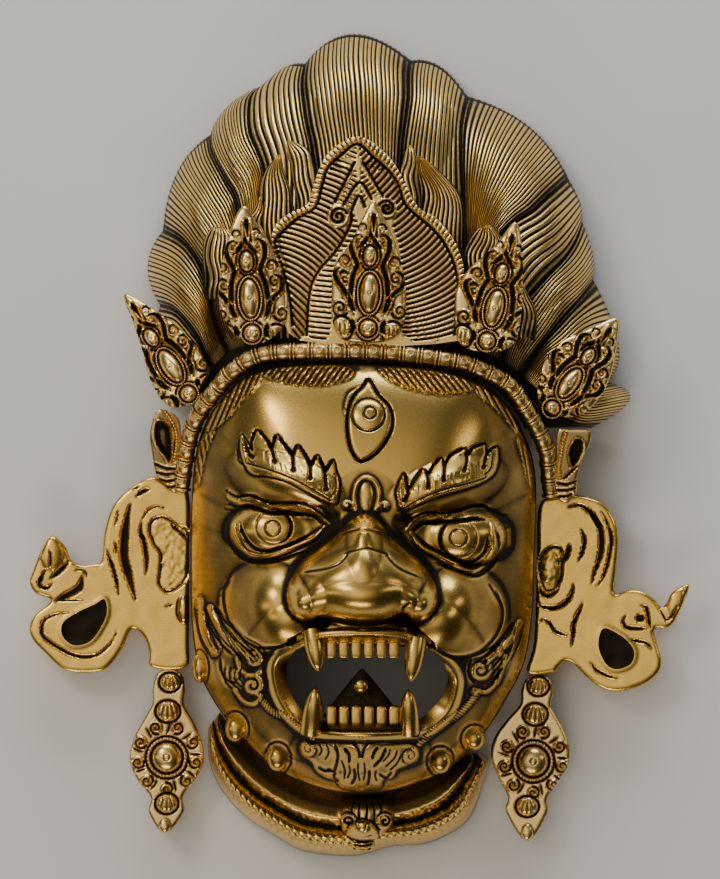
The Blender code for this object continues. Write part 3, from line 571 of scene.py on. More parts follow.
def lump(body, centre, halves, patina=0.0, square=1.0, turn=0.0, rings=10, sides=16):
    # Ball, egg or rounded block; square below 1 makes it blockier
    def shaped(value):
        return np.sign(value) * np.abs(value) ** square
    points = [(0, 0, -1)]
    for level in range(1, rings):
        tilt = -math.pi / 2 + math.pi * level / rings
        angles = np.arange(sides) * 2 * math.pi / sides
        points.extend(np.stack([shaped(np.cos(angles)) * shaped(math.cos(tilt)), shaped(np.sin(angles)) * shaped(
            math.cos(tilt)), np.full(sides, shaped(math.sin(tilt)))], axis=1))
    points.append((0, 0, 1))
    points = np.array(points) * np.array(halves)
    c = math.cos(math.radians(turn))
    s = math.sin(math.radians(turn))
    points = np.stack([points[:, 0] * c - points[:, 1] * s, points[:, 0] * s + points[:, 1] * c, points[:, 2]], axis=1)
    return body.add(points + np.array(centre), ballFaces(rings - 1, sides), patina)


def ballFaces(levels, sides):
    # Faces of rings of points with a point before them and one after
    last = levels * sides + 1
    faces = []
    for side in range(sides):
        following = (side + 1) % sides
        faces.append((0, 1 + following, 1 + side))
        for level in range(levels - 1):
            base = 1 + level * sides
            faces.append((base + side, base + following, base + sides + following, base + sides + side))
        base = 1 + (levels - 1) * sides
        faces.append((base + side, base + following, last))
    return faces


def tube(body, path, radii, patina=0.0, sides=14, flat=1.0, shape=None):
    # Round bar along a path, closed at its ends; flat squashes it along z, shape changes the radius round it
    path = np.array(path, dtype=float)
    radii = np.broadcast_to(np.array(radii, dtype=float), (len(path),))
    along = np.gradient(path, axis=0)
    along /= np.linalg.norm(along, axis=1, keepdims=True)
    side = np.cross(along, (0.0, 0.0, 1.0))
    side /= np.maximum(np.linalg.norm(side, axis=1, keepdims=True), 1e-9)
    over = np.cross(along, side)
    angles = np.arange(sides) * 2 * math.pi / sides
    points = [path[0] - along[0] * radii[0] * 0.4]
    for index in range(len(path)):
        radius = radii[index] * (shape(index, angles) if shape else np.ones(sides))
        circle = (np.outer(np.cos(angles) * radius, side[index])
                  + np.outer(np.sin(angles) * radius * flat, over[index]))
        points.extend(path[index] + circle)
    points.append(path[-1] + along[-1] * radii[-1] * 0.4)
    return body.add(np.array(points), ballFaces(len(path), sides), patina)


# The face
face = {
    "outline": [
        (2.5, 40.5), (30.5, 38.5), (49.5, 35), (62.5, 29), (73, 19.5), (81, 6.5), (86.5, -9), (88, -28),
        (87, -58), (86, -85.5), (82, -109), (74, -125.5), (61, -145.5), (44, -162), (21, -171.5),
        (-0.5, -174.5), (-22, -171), (-42, -162), (-58.5, -147), (-72, -130), (-80.5, -112), (-84, -88),
        (-84.5, -58), (-84, -28), (-82, -5.5), (-76.5, 11.5), (-65.5, 26), (-52.5, 35.5), (-28, 40),
    ],
    "centre": (1.5, -65.5), "depth": 95.0, "power": 2.4, "round": 0.62, "wall": 3.5, "fine": 0.56, "coarse": 1.15,
    # Height of the side wall at each level of the face, from the chin up to the crown
    "levels": [-176.0, -153.0, -128.0, -40.0, -23.0, -3.0, 12.0, 22.0, 32.0, 42.0],
    "heights": [38.0, 30.0, 24.0, 24.0, 27.0, 38.0, 47.0, 55.0, 62.0, 70.0],
    # Swellings: centre, half width and half height, rise, turn, and how sharply each one meets the dome
    "swells": [
        ((-36.5, -20), (32.0, 15.0), 9.0, -20.0, 1.4), ((43, -22), (32.0, 15.0), 9.0, 18.0, 1.4),
        ((2, -116), (64.0, 48.0), 14.0, 0.0, 1.1), ((0, -155), (36.0, 22.0), 12.0, 0.0, 1.1),
        ((-47.5, -81), (23.5, 24.0), 13.0, 0.0, 1.15), ((51, -83.5), (23.5, 24.0), 13.0, 0.0, 1.15),
    ],
    # Masses of the nose: centre, halves, height of the centre, rise above it, turn
    # The nose rises from its outline like a blown form, with swellings over the tip and the bridge
    "noseReach": 19.0, "noseRise": 21.0,
    "masses": [
        ((1.5, -71), (30.0, 20.0), 7.0, 0.0), ((2, -48), (9.0, 22.0), 2.5, 0.0), ((-27.5, -76.5), (11.0, 12.0), 2.5, 0.0),
        ((30.5, -78), (11.0, 12.0), 2.5, 0.0),
    ],
    "sockets": [((-39.5, -42), (30.0, 18.0), 9.0), ((47, -44.5), (30.0, 18.0), 9.0)],
    "eyeBalls": [((-40, -43), (25.0, 16.5), 70.0, 19.0), ((47.5, -46), (25.0, 16.5), 70.0, 19.0)],
    "nose": [
        (-5, -36.5), (-11, -43.5), (-21, -51.5), (-29.5, -58), (-35, -66.5), (-37, -75), (-34.5, -83.5),
        (-27.5, -88), (-21, -88), (-16, -86.5), (-7.5, -88), (1.5, -89), (12, -88), (19, -86),
        (24.5, -88.5), (31, -88), (37, -83), (39, -76), (37, -67), (31, -58.5), (22.5, -51.5), (14.5, -44),
        (8.5, -36.5), (2, -34),
    ],
}
mouth = {
    "lips": [
        (-44, -112), (-41.5, -105.5), (-36, -101.5), (-28, -98), (-19, -95), (1, -93.5), (21.5, -95),
        (33, -100.5), (41.5, -106.5), (47.5, -112), (49.5, -119), (47.5, -129), (43, -136.5), (35, -142.5),
        (25, -144), (1, -144.5), (-22.5, -143.5), (-30.5, -141), (-37.5, -133.5), (-42.5, -123),
    ],
    "bars": [[(-24, -93), (-12.5, -92), (1, -92.5), (15, -92.5), (26.5, -94.5)], [(-27.5, -142), (-17.5, -143.5), (1, -144), (17.5, -144), (32, -142.5)]],
    "opening": [
        (-35, -106), (-29, -101), (-15, -98.5), (20, -98.5), (32.5, -101), (40, -106), (43.5, -114.5),
        (41.5, -124), (35, -132), (24, -137.5), (-21, -137.5), (-29.5, -131.5), (-35, -122.5),
        (-36.5, -113.5),
    ],
    "lipWidth": 2.6, "lipRise": 2.4, "barWidth": 4.6, "barRise": 3.2, "slope": 1.7,
    "fangs": [
        ((-23.5, -93), (-20.5, -112.5), 5.4, 97.0, 101.0), ((28, -97), (25, -117.5), 5.2, 97.0, 101.0),
        ((-24.5, -143), (-22, -121), 5.2, 88.0, 95.0), ((24.5, -143), (24, -122), 5.0, 88.0, 95.0),
    ],
    "toothPitch": 6.2, "toothHalves": (2.65, 5.2, 3.6), "toothCount": 6,
    "upperTeeth": (-101.3, 96.0), "lowerTeeth": (-134.8, 88.0), "middle": 1.3,
}
brows = {
    "left": [
        (-58.5, -8), (-60, -0.5), (-58.5, 4.8), (-55.5, 0.5), (-53.5, -3), (-53.5, 2), (-51, 7), (-47, 3),
        (-44.5, -1.5), (-43, 0), (-41, 4.5), (-38, 0.5), (-34, -5.5), (-31, -0.5), (-27, -5.5),
        (-24.5, -11), (-21, -5.5), (-18.5, -10.5), (-17, -13.5), (-13.2, -7.8), (-11.8, -13.5), (-10, -18),
        (-10.5, -25), (-13, -30.5), (-27, -23.5), (-35.5, -19), (-46, -16), (-54, -15),
    ],
    "right": [
        (20.5, -33.5), (18.5, -28), (18, -23), (22, -14.5), (24, -22), (27, -17), (31, -12.5), (34, -15),
        (36, -11), (40.2, -6.8), (42.5, -9.5), (45, -5.5), (51.8, -2.2), (53.5, -5.5), (56, -2), (62, 0.2),
        (63, -4.5), (68, -1), (69, -8), (67, -14.5), (61.5, -19), (52, -22.5), (41, -25.5), (30.5, -29.5),
    ],
    "clefts": [
        [(-58.6, 4.8), (-56.8, 0.5), (-55.3, -4.2), (-53.8, -6.5)], [(-51, 7.2), (-46.7, 2.7), (-43.8, -2.5), (-42.4, -8.5)],
        [(-40.6, 3.5), (-36.6, -1.3), (-33.5, -5.8), (-33.2, -12.8)], [(-30.5, -0.5), (-26.9, -6), (-24.8, -10.7), (-24.8, -16.8)],
        [(-20.9, -6.2), (-17.8, -12.8), (-16.8, -22.8)], [(-51.6, 6.8), (-53.9, 1.2)], [(-42, 4.5), (-43.5, -2.5)],
        [(-31.2, -0.9), (-33.4, -5.8)], [(-21.7, -5.8), (-24.5, -11)], [(-13.6, -7.8), (-17.2, -13.2)],
        [(22.3, -14.7), (22.8, -20.1), (23.8, -24.4), (22.1, -28)], [(30.9, -12.5), (27.9, -17.2), (23.8, -23.5)],
        [(32.4, -12.5), (33.7, -17.2), (33.7, -21.8)], [(40.2, -6.8), (36.2, -11.4), (33.8, -15.5)],
        [(41, -7.8), (41.8, -11.4), (41.4, -18.2)], [(51.5, -2.4), (44.8, -6), (41.8, -11.5)],
        [(52, -3.5), (53, -7.8), (51.7, -12.8)], [(61.9, 0.1), (56, -2), (53.2, -6)], [(67.8, -0.9), (63.2, -4.5), (61.4, -11.4)],
    ],
    "bulbs": [
        (-53.5, -6.2), (-42.4, -8.5), (-33.2, -12.8), (-24.8, -16.8), (-16.8, -22.8), (22.1, -28),
        (33.7, -21.8), (41.4, -18), (51.7, -12.8), (61.4, -11.4),
    ],
    "rims": [
        [(-56.5, -9.5), (-46, -12.5), (-35.2, -16.5), (-24.3, -22), (-14.2, -28.2)],
        [(20.3, -33), (30.4, -26.9), (41.2, -22.8), (52, -20), (62, -17)],
    ],
    "outerHairs": [
        [(-12.5, -15), (-11.8, -22.2), (-14.3, -26.5)], [(-57, -1.5), (-55.5, -7.5), (-52.5, -9.5)], [(-61, -3), (-60, -8.5), (-55.5, -12)],
        [(19.5, -19.5), (19, -25.5), (20.5, -30)], [(21, -17), (21.2, -24), (21.5, -28)], [(66, -5.5), (65, -12), (62, -15)],
    ],
    "rise": 2.3,
}
eyes = {
    # Folds are cut, lids stand proud; the iris is a cut ring round the pupil
    "lids": [
        [(-65.5, -26), (-61.5, -28), (-54.5, -28.5), (-47, -31), (-39.5, -31.5), (-29, -31.8), (-23.5, -33), (-19.5, -35.5), (-15.5, -39.5)],
        [(23.5, -42.5), (27, -38.2), (32, -36.2), (42.5, -36), (51, -35), (58.5, -33.8), (65, -35.5), (71.5, -37)],
    ],
    "folds": [
        [(-67, -22.5), (-61.5, -26.2), (-54.5, -25.5), (-48, -28), (-43, -29.2), (-30.5, -29.2), (-25.5, -30.5), (-21, -33.2), (-15, -38.5)],
        [(22.5, -41.5), (25.2, -37.5), (30, -34.8), (34, -34), (42.5, -34.2), (50, -32.8), (53.5, -31.2), (60.5, -30.5), (65.5, -33.5), (69, -35.3), (73, -35.3)],
    ],
    "lidEdges": [
        [(-57, -30.5), (-50, -32.5), (-45, -34.2), (-36, -34.2), (-27, -34.8), (-22.2, -36), (-19.5, -39.5)],
        [(26.3, -44), (28.8, -40.8), (33, -38.8), (44.5, -38.5), (51.5, -37.8), (57, -37.2), (62.5, -37.8)],
    ],
    "lowerLids": [
        [(-63, -34.5), (-63, -41.5), (-61, -48.5), (-55.5, -55), (-46, -55.8), (-37, -53), (-30, -49.8), (-23, -46), (-17.5, -40.5)],
        [(25, -43.5), (30, -50.5), (37.5, -55), (45.5, -59), (56, -62.5), (63, -58.5), (66.5, -52), (66, -43.5), (65, -38.5)],
    ],
    "pouches": [
        [(-62, -36), (-65, -41.5), (-64.2, -50.5), (-60.5, -55.2), (-56, -58), (-46, -58.8), (-35, -56), (-25, -52)],
        [(66, -41.5), (69, -48), (68.2, -56), (64, -62), (57, -65.5), (46, -62.2), (37, -58.5)],
    ],
    "crescents": [
        [(-59.5, -38.5), (-58, -44.5), (-53.5, -50.5), (-48, -53), (-39, -51.2), (-30, -47.8), (-23.5, -44)],
        [(27.5, -45), (33, -50.5), (39, -53.5), (47.5, -57), (54, -59), (59, -56.5), (62.5, -52), (63.5, -45)],
    ],
    "crowFeet": [
        [(-67, -29.5), (-63.5, -30.2), (-61, -32)], [(-67, -32.5), (-64, -32.8), (-62, -34)], [(74, -38), (70.5, -38.5), (68.5, -40)],
        [(74, -41.5), (71, -41.5), (69, -42.5)],
    ],
    "irises": [((-43, -41.2), 8.7, (-43.3, -41.9), 3.85), ((49, -46.9), 9.3, (49, -46.7), 4.3)],
    "thirdLid": [
        (4.5, 32), (9, 24.5), (14.5, 18.5), (16.2, 11), (14, 3.5), (8, -4.5), (0.5, -8.5), (-4, -3.5),
        (-6.2, 5.5), (-6, 16), (-3, 24), (1, 28),
    ],
    "thirdBall": ((4.2, 14.5), 8.2), "thirdPupil": ((5, 15.5), 3.0), "thirdFold": [(0.5, 29), (-6, 25.5), (-8, 20), (-7.5, 14)],
}
faceRidges = [
    # Lines that stand proud: half width, rise, and the lines
    (1.5, 1.7, [[(-2.5, -32.5), (-3, -25), (-1, -19), (3.2, -16.5), (7.5, -19), (9.5, -25), (8, -32.5)]]),
    (1.0, 1.2, [spiral((-6.5, -30.5), 2.6, 1.1, 330), spiral((12.5, -31), 2.6, 1.1, 210, hand=-1)]),
    (2.0, 2.2, [
        [(-79.5, -77.5), (-78.5, -88), (-76.5, -97), (-72.5, -103.5)], [(-74.5, -81.5), (-70.5, -90), (-65.5, -97), (-59.5, -102), (-55.5, -105.5)],
        [(79.5, -89), (76, -96), (70, -102), (64.5, -107)],
    ]),
    (1.5, 2.0, [
        spiral((-52, -106), 4.0, 1.5, 150), spiral((-53.5, -120), 5.4, 1.4, 120, hand=-1), spiral((60, -112.5), 5.0, 1.5, 40, hand=-1),
        spiral((-25.5, -151.5), 3.6, 1.3, 120), spiral((25, -155), 3.9, 1.3, 60, hand=-1),
    ]),
    (1.3, 1.5, [
        [(-61, -106.5), (-59.5, -112), (-54.5, -114.8), (-50, -113.5)], [(-62.5, -122), (-58.5, -127.5), (-53.5, -129.5), (-49.5, -126.5)],
        [(72.5, -105.5), (69.5, -116), (64, -123), (59, -123)], [(76, -103), (72, -112), (68.5, -119)],
    ]),
    (2.0, 1.7, [[(-50.5, -125), (-44.5, -132), (-37, -136), (-30, -141.5), (-24, -147)], [(59, -123), (51.5, -132), (42, -139), (29.5, -148.5)]]),
]
faceBulbs = [
    ((-72.5, -103.5), (2.9, 2.9), 2.4), ((-62, -114.2), (2.6, 2.6), 2.0), ((-49.5, -125), (1.8, 1.8), 1.5), ((3.2, -26), (3.6, 8.0), 1.3),
    ((-6.5, -30.5), (1.2, 1.6), 1.0), ((12.5, -31), (1.2, 1.6), 1.0), ((60.5, -112.5), (1.8, 1.8), 1.4), ((69.5, -104), (2.4, 2.4), 1.8),
    ((57, -123), (2.2, 2.2), 1.6), ((0.5, -149), (3.4, 3.4), 1.5),
]
faceGrooves = [
    # Lines that are cut: half width, depth, and the lines
    (1.0, 1.5, [
        [(-27, -56), (-33.5, -63.5), (-37, -72), (-36.5, -81), (-31, -87.5), (-23.5, -89)], [(30, -58), (37, -66.5), (39, -77), (35.5, -85.5), (28, -89), (22, -88)],
        [(-11, -43.5), (-4, -36.5), (2, -34), (8.5, -36.5), (14.5, -43.5)],
    ]),
    (0.6, 0.7, [
        [(-11, -45.5), (-4, -43), (3, -42.8), (10.5, -43.8), (18, -47)], [(-8.5, -54.5), (-2.5, -52.8), (3, -51.8), (8.5, -52.8), (15, -55)],
        [(-28.5, -63.5), (-17.5, -62), (-9.5, -58.8), (-5, -52.5)], [(12, -53), (18.5, -61), (29.5, -66)],
        [(-3.5, -91.5), (1.5, -92.5), (12, -91.5)],
    ]),
    (1.0, 1.4, [
        [(-62.5, -62.5), (-67.5, -73), (-67, -82.5), (-64, -89.8), (-58.2, -97), (-51.5, -100.8), (-44.5, -101.2), (-37, -99.8), (-30, -94)],
        [(64, -69.5), (70.5, -81), (69, -92.5), (60, -103), (48.5, -106), (38.5, -102.5), (33, -95)],
    ]),
    (2.0, 2.6, [[(-23.5, -88.5), (-26, -93), (-30.5, -96.5), (-36.5, -99.5)], [(23, -87.5), (26.5, -92), (32, -97), (37, -101.5)]]),
    (0.8, 1.2, [
        [(-83, -79.5), (-81, -92), (-78, -100.5), (-74, -106)], [(-78, -81), (-74, -92), (-69, -99.5), (-63, -105)],
        [(-73.5, -81), (-66, -89), (-59.5, -95), (-55, -101)], [(-69.5, -106.5), (-69, -112.5), (-66, -117.5), (-61, -119)],
        [(81, -93), (78.5, -100.5), (73.5, -109.5), (69.5, -118)], [(76, -89), (71, -96), (64, -103.5)],
        [(-49, -109), (-46, -118), (-47, -123)], [(55, -106), (54, -114), (57, -119)],
    ]),
    (0.9, 1.8, [
        [(-3.5, -148.5), (-1, -151), (0, -156)], [(4, -148.5), (2, -151), (1, -156)], [(-12.5, -148.5), (-11, -155), (-13, -162.5), (-16.5, -161)],
        [(13, -150.5), (10.5, -156), (6.5, -160.5)], [(-3, -161), (-2.5, -166), (-4.5, -169.5)], [(4.5, -162), (4.5, -166.5), (3.5, -170.5)],
        [(-8, -150.5), (-5.5, -154), (-5.5, -158.5)], [(9, -150), (7, -153), (6, -156.5)], [(16, -163), (13, -166), (9.5, -164)],
        [(-21, -160.5), (-17.5, -162.5), (-14.5, -161.5)], [(-10.5, -168), (-13, -165.5), (-12, -163)],
    ]),
    (0.55, 1.0, [
        [(-17, -148.5), (-15.5, -153), (-17.5, -157)], [(-20.5, -148.5), (-19, -152), (-20.5, -155)], [(-9.5, -156.5), (-7.5, -162), (-8, -167)],
        [(-5.5, -159), (-5, -163), (-6.5, -166.5)], [(8, -162), (7.5, -165), (8.5, -168)], [(11, -158), (14, -154.5), (15, -151)],
        [(12.5, -160.5), (17, -156), (18.5, -152)], [(14.5, -162.5), (18.5, -158.5), (20.5, -154)], [(-1, -158), (-1, -163), (0, -168)],
        [(2, -158), (2.5, -163), (1.5, -168)],
    ]),
]
goatee = [
    (-29.5, -148.5), (-22, -148.5), (-11, -148), (0.5, -148.5), (12.5, -148), (22.5, -148.5), (29, -150.5),
    (29, -156), (24, -160), (19, -162), (16.5, -166), (12, -167), (10.5, -171), (5.5, -172), (0.5, -173.5),
    (-4.5, -172), (-9.5, -171), (-12.5, -167.5), (-17.5, -166), (-22, -162.5), (-24.5, -158), (-29, -155),
]
# Bundles of beard hair: the two edges that the strands run between, and how many there are
beardStrands = [
    ([(-81.5, -81), (-80.5, -92), (-77, -100.5), (-73.5, -105.5)], [(-78.5, -79.5), (-74, -89), (-69.5, -98), (-68, -104)], 4),
    ([(-74.5, -81), (-69, -91), (-64, -100), (-58.5, -108), (-55, -112)], [(-73, -79.5), (-65, -88), (-57, -96), (-49, -100.5), (-46, -105.5)], 7),
    ([(-67, -110), (-67, -118), (-62, -123)], [(-58.5, -110), (-60, -116), (-57, -120)], 4),
    ([(56.5, -105.5), (62, -103), (68.5, -98), (76, -88)], [(65, -119), (71.5, -110.5), (75, -102), (77.5, -91)], 7),
]
# Painted shade, with a rougher finish, in creases, corners and along the band: loops and how dark each one is, left out
# where a ridge stands on it. The last loop, below 0, paints the ground between the nose and the lip lighter
paintedShadeLoops = [
    ([(-11.5, -19), (-5, -13), (3, -11), (11, -13.5), (17.5, -20), (17, -32), (10, -34.5), (2, -32.5), (-5.5, -34.5), (-11, -30.5)], 0.22),
    ([(-21, -29.5), (-10, -33), (-11, -42), (-19, -46.5), (-26, -48.5), (-19, -40)], 0.6),
    ([(18, -34), (24.5, -34), (27, -38), (22, -43), (27, -50.5), (19, -45), (15, -39)], 0.6),
    ([(-53.5, 39.5), (-30, 41.5), (1, 42), (30, 41), (60, 33.5), (56, 31), (30, 38.5), (3, 35), (-2.5, 36), (-30, 39), (-51, 35)], 0.8),
    ([(-82, -5.5), (-77, 10), (-66, 25), (-54, 38), (-51, 35), (-69, 23), (-77, 6), (-80.5, -2)], 0.75),
    ([(59, 33), (69, 26), (79, 12), (85, -3), (81, -0.5), (74, 12), (65, 24)], 0.75),
    ([(-27.5, -87), (-19, -86), (-17, -90), (-24, -95), (-30, -98.5), (-36, -100), (-31, -94)], 0.8),
    ([(19, -85), (26, -87), (33, -95), (39, -101.5), (34, -100.5), (25, -95), (19, -90)], 0.8),
    ([(-49, -102), (-42, -102), (-45.5, -108), (-46, -115), (-44, -125), (-38, -135), (-42, -132), (-48, -123)], 0.55),
    ([(49, -104), (55, -105), (53, -112), (53, -120), (49, -131), (45, -136), (50, -125), (51.5, -116)], 0.55),
    ([(-19, -86.5), (-7.5, -88.5), (12.5, -88.5), (22, -86.5), (24, -98.5), (2, -99.5), (-22, -98)], -0.7),
]
fringes = [
    # Scallops of hair under the band, with the slant of their strands
    ([(-48.5, 37), (-30, 39), (-10, 39), (-3.5, 37), (-3, 33), (-12.5, 30), (-23, 28.5), (-37.5, 30), (-48, 33.5)], 55.0),
    ([(-51, 35.5), (-49, 32), (-57.5, 22), (-64, 14.5), (-70.5, 8.5), (-76, 6), (-76.5, 10), (-69, 23), (-60, 32.5)], 68.0),
    ([(-76.5, 5), (-72, 6.5), (-76, -3), (-78, -11), (-80, -20), (-83, -22), (-83, -9), (-80.5, 0)], 100.0),
    ([(10, 38), (30, 37), (47.5, 34), (56, 30), (56, 26.5), (47.5, 25), (36, 25), (22.5, 28), (12.5, 33)], -52.0),
    ([(58, 29.5), (66, 25.5), (73, 18.5), (78, 10), (78.5, 5), (72.5, 11.5), (66, 18.5), (58.5, 24.5)], -62.0),
    ([(78.5, 3.5), (82, -2), (85, -11), (86.5, -20), (84, -21), (81, -9), (78, -0.5)], -80.0),
]
jawStuds = [
    ((-80, -112), (4.5, 9.0, 6.0)), ((-62, -142), (6.5, 8.5, 7.0)), ((-41, -156.5), (6.5, 8.0, 7.0)),
    ((40, -158), (6.5, 7.5, 7.0)), ((57, -147), (6.5, 7.0, 7.0)),
]
faceRadii = radiusTable(face["outline"], face["centre"])


def wallTop(angle):
    level = face["centre"][1] + radiusAt(faceRadii, angle) * np.sin(angle)
    return np.interp(level, face["levels"], face["heights"])


def skinHeight(x, y):
    # The dome of the face with its sockets and swellings
    angle = np.arctan2(y - face["centre"][1], x - face["centre"][0])
    share = np.hypot(x - face["centre"][0], y - face["centre"][1]) / radiusAt(faceRadii, angle)
    rim = wallTop(angle)
    dome = np.maximum(1 - np.minimum(share, 1.0) ** face["power"], 0) ** face["round"]
    height = rim + (face["depth"] - rim) * dome
    for centre, halves, depth in face["sockets"]:
        height = height - depth * np.exp(1.6 * (ovalDepth(x, y, centre, halves) - 1))
    for centre, halves, rise, turn, sharpness in face["swells"]:
        height = height + rise * np.maximum(ovalDepth(x, y, centre, halves, turn), 0) ** sharpness
    return height


def massTop(x, y, centre, halves, low, rise, turn=0.0):
    depth = ovalDepth(x, y, centre, halves, turn)
    return low + rise * np.sqrt(np.maximum(depth, 0)) - 40.0 * np.maximum(-depth, 0)


def ticksAlong(line, pitch, length, lean):
    # Short strokes across a line, leaning by an angle in degrees
    marks = spaced(smoothLine(line), pitch)
    along = np.gradient(marks, axis=0)
    angles = np.arctan2(along[:, 1], along[:, 0]) + math.radians(90 + lean)
    half = 0.5 * length * np.stack([np.cos(angles), np.sin(angles)], axis=1)
    return [np.array([mark - reach, mark + reach]) for mark, reach in zip(marks, half)]


def hatch(relief, loop, angle, pitch, depth, bow=0.0, sharp=1.4):
    # Cuts even grooves into the inside of a closed line; bow bends them
    loop = np.array(loop, dtype=float)
    area = relief.window(loop, 1.0)
    mask = np.clip(relief.depthIn(loop, 1.0)[area] + 0.2, 0, 1)
    middle = loop.mean(axis=0)
    c = math.cos(math.radians(angle))
    s = math.sin(math.radians(angle))
    dx = relief.x[area] - middle[0]
    dy = relief.y[area] - middle[1]
    across = -dx * s + dy * c + bow * (dx * c + dy * s) ** 2
    relief.z[area] -= depth * mask * (0.5 + 0.5 * np.cos(across * 2 * math.pi / pitch)) ** sharp


def carveBrows(relief):
    ground = relief.z.copy()
    for side in ("left", "right"):
        relief.plate(smoothLine(brows[side], 4, True), brows["rise"], 0.9)
    plates = relief.z - ground
    relief.strokes([smoothLine(line) for line in brows["clefts"]], 0.9, -2.4, taper=0.1, power=0.9)
    for bulb in brows["bulbs"]:
        relief.swell(bulb, (1.5, 1.5), -1.6)
    relief.strokes([smoothLine(line) for line in brows["rims"]], 0.55, -1.3)
    relief.strokes([smoothLine(line) for line in brows["outerHairs"]], 0.45, -0.9)
    for side in ("left", "right"):
        outline = smoothLine(brows[side], 4, True)
        relief.stroke(outline, 0.7, -0.9, closed=True)
    # Fine hairs that run up from the rim lines
    draws = np.random.default_rng(7)
    for rim in brows["rims"]:
        for foot in spaced(smoothLine(rim), 1.15):
            lean = draws.uniform(-0.8, 0.4)
            reach = draws.uniform(3.5, 8.0)
            line = np.array([foot + (0.0, 0.9), foot + (lean, 0.9 + reach)])
            area, near, share = relief.distance(line, 0.5)
            relief.z[area] -= 0.4 * np.maximum(1 - (near / 0.5) ** 2, 0) * (plates[area] > brows["rise"] * 0.8)


def carveEyes(relief):
    for line in eyes["lids"]:
        relief.stroke(smoothLine(line), 2.9, 2.8, taper=0.12)
    relief.strokes([smoothLine(line) for line in eyes["folds"]], 0.75, -1.9, taper=0.08)
    for (centre, halves, low, rise) in face["eyeBalls"]:
        area = relief.window(np.array([centre]), max(halves) + 2)
        ball = massTop(relief.x[area], relief.y[area], centre, halves, low, rise)
        relief.z[area] = smoothHigher(ball, relief.z[area], 3.0)
    relief.strokes([smoothLine(line) for line in eyes["lidEdges"]], 1.1, -2.3, taper=0.1)
    relief.strokes([smoothLine(line) for line in eyes["lowerLids"]], 1.7, 2.4, taper=0.1)
    relief.strokes([smoothLine(line) for line in eyes["pouches"]], 0.7, -1.4, taper=0.12)
    relief.strokes([smoothLine(line) for line in eyes["crescents"]], 0.9, -2.0, taper=0.1)
    relief.strokes([smoothLine(line) for line in eyes["crowFeet"]], 0.5, -0.7)
    for centre, radius, pupil, pupilRadius in eyes["irises"]:
        relief.stroke(ring(centre, radius), 0.5, -0.6, closed=True)
        inward = 1 if centre[0] < 0 else -1
        side = ring(centre, radius)[[index % 48 for index in range(-9, 10)]]
        side = side if inward > 0 else np.column_stack([2 * centre[0] - side[:, 0], side[:, 1]])
        relief.stroke(side, 1.1, -1.8, taper=0.3)
        relief.stroke(ring(pupil, pupilRadius), 0.5, -0.8, closed=True)
    lid = smoothLine(eyes["thirdLid"], 5, True)
    relief.plate(lid, 1.5, 3.0)
    relief.stroke(lid, 0.95, -1.9, closed=True)
    relief.stroke(smoothLine(eyes["thirdFold"]), 0.7, -0.9, taper=0.2)
    centre, radius = eyes["thirdBall"]
    relief.swell(centre, (radius, radius), 1.6, power=0.8)
    relief.stroke(ring(centre, radius), 0.6, -0.9, closed=True)
    centre, radius = eyes["thirdPupil"]
    relief.stroke(ring(centre, radius), 0.6, -1.0, closed=True)


def carveMouth(relief):
    skin = relief.z.copy()
    curve = smoothLine(mouth["lips"], 6, True)
    relief.strokes([smoothLine(line) for line in mouth["bars"]], mouth["barWidth"], mouth["barRise"], taper=0.06, power=0.62)
    relief.stroke(curve, mouth["lipWidth"], mouth["lipRise"], closed=True, power=0.62)
    inside = relief.depthIn(curve, 12.0)
    funnel = skin + mouth["barRise"] - (inside - 1.0) * mouth["slope"]
    relief.z = np.where(inside > 1.5, np.minimum(relief.z, funnel), relief.z)


def between(left, right, count):
    # Lines that fan out evenly between two edges
    left = spaced(smoothLine(left), 0.7)
    right = spaced(smoothLine(right), 0.7)
    shares = np.linspace(0, 1, 24)
    ends = [np.stack([np.interp(shares, np.linspace(0, 1, len(line)), line[:, axis]) for axis in (0, 1)], axis=1)
            for line in (left, right)]
    return [ends[0] + (ends[1] - ends[0]) * share for share in np.linspace(0, 1, count)]


def faceRelief():
    relief = Relief(smoothLine(face["outline"], 8, True))
    relief.z = skinHeight(relief.x, relief.y)
    outline = smoothLine(face["nose"], 5, True)
    share = 1 - np.clip(blurred(relief.depthIn(outline, face["noseReach"]), 3) / face["noseReach"], 0, 1)
    relief.z += face["noseRise"] * blurred(np.sqrt(1 - share ** 2), 2)
    for centre, halves, rise, turn in face["masses"]:
        relief.swell(centre, halves, rise, turn, power=1.3)
    for nostril in ((-19.5, -88.5), (21, -87)):
        relief.swell(nostril, (4.2, 3.4), -6.0)
    relief.stroke(smoothLine([(21, -84.5), (21.5, -81), (24.5, -78.5)]), 0.8, -1.2)
    carveMouth(relief)
    carveEyes(relief)
    carveBrows(relief)
    relief.plate(smoothLine(goatee, 4, True), 2.2, 2.0)
    for width, rise, lines in faceRidges:
        relief.strokes([smoothLine(line, 4) for line in lines], width, rise, power=0.7)
    for centre, halves, rise in faceBulbs:
        relief.swell(centre, halves, rise)
    for width, depth, lines in faceGrooves:
        relief.strokes([smoothLine(line) for line in lines], width, -depth, taper=0.1)
    for left, right, count in beardStrands:
        relief.strokes(between(left, right, count), 0.55, -1.1, taper=0.12)
    for line in faceRidges[5][2]:
        relief.strokes(ticksAlong(line, 1.5, 4.4, 25), 0.42, -0.9)
    for loop, angle in fringes:
        loop = smoothLine(loop, 4, True)
        relief.plate(loop, 1.8, 1.0)
        hatch(relief, loop, angle, 2.5, 1.6, sharp=1.0)
    for centre, halves in jawStuds:
        relief.stroke(ring(centre, halves[0] + 0.3, stretch=halves[1] / halves[0]), 0.7, -1.0, closed=True)
    return relief


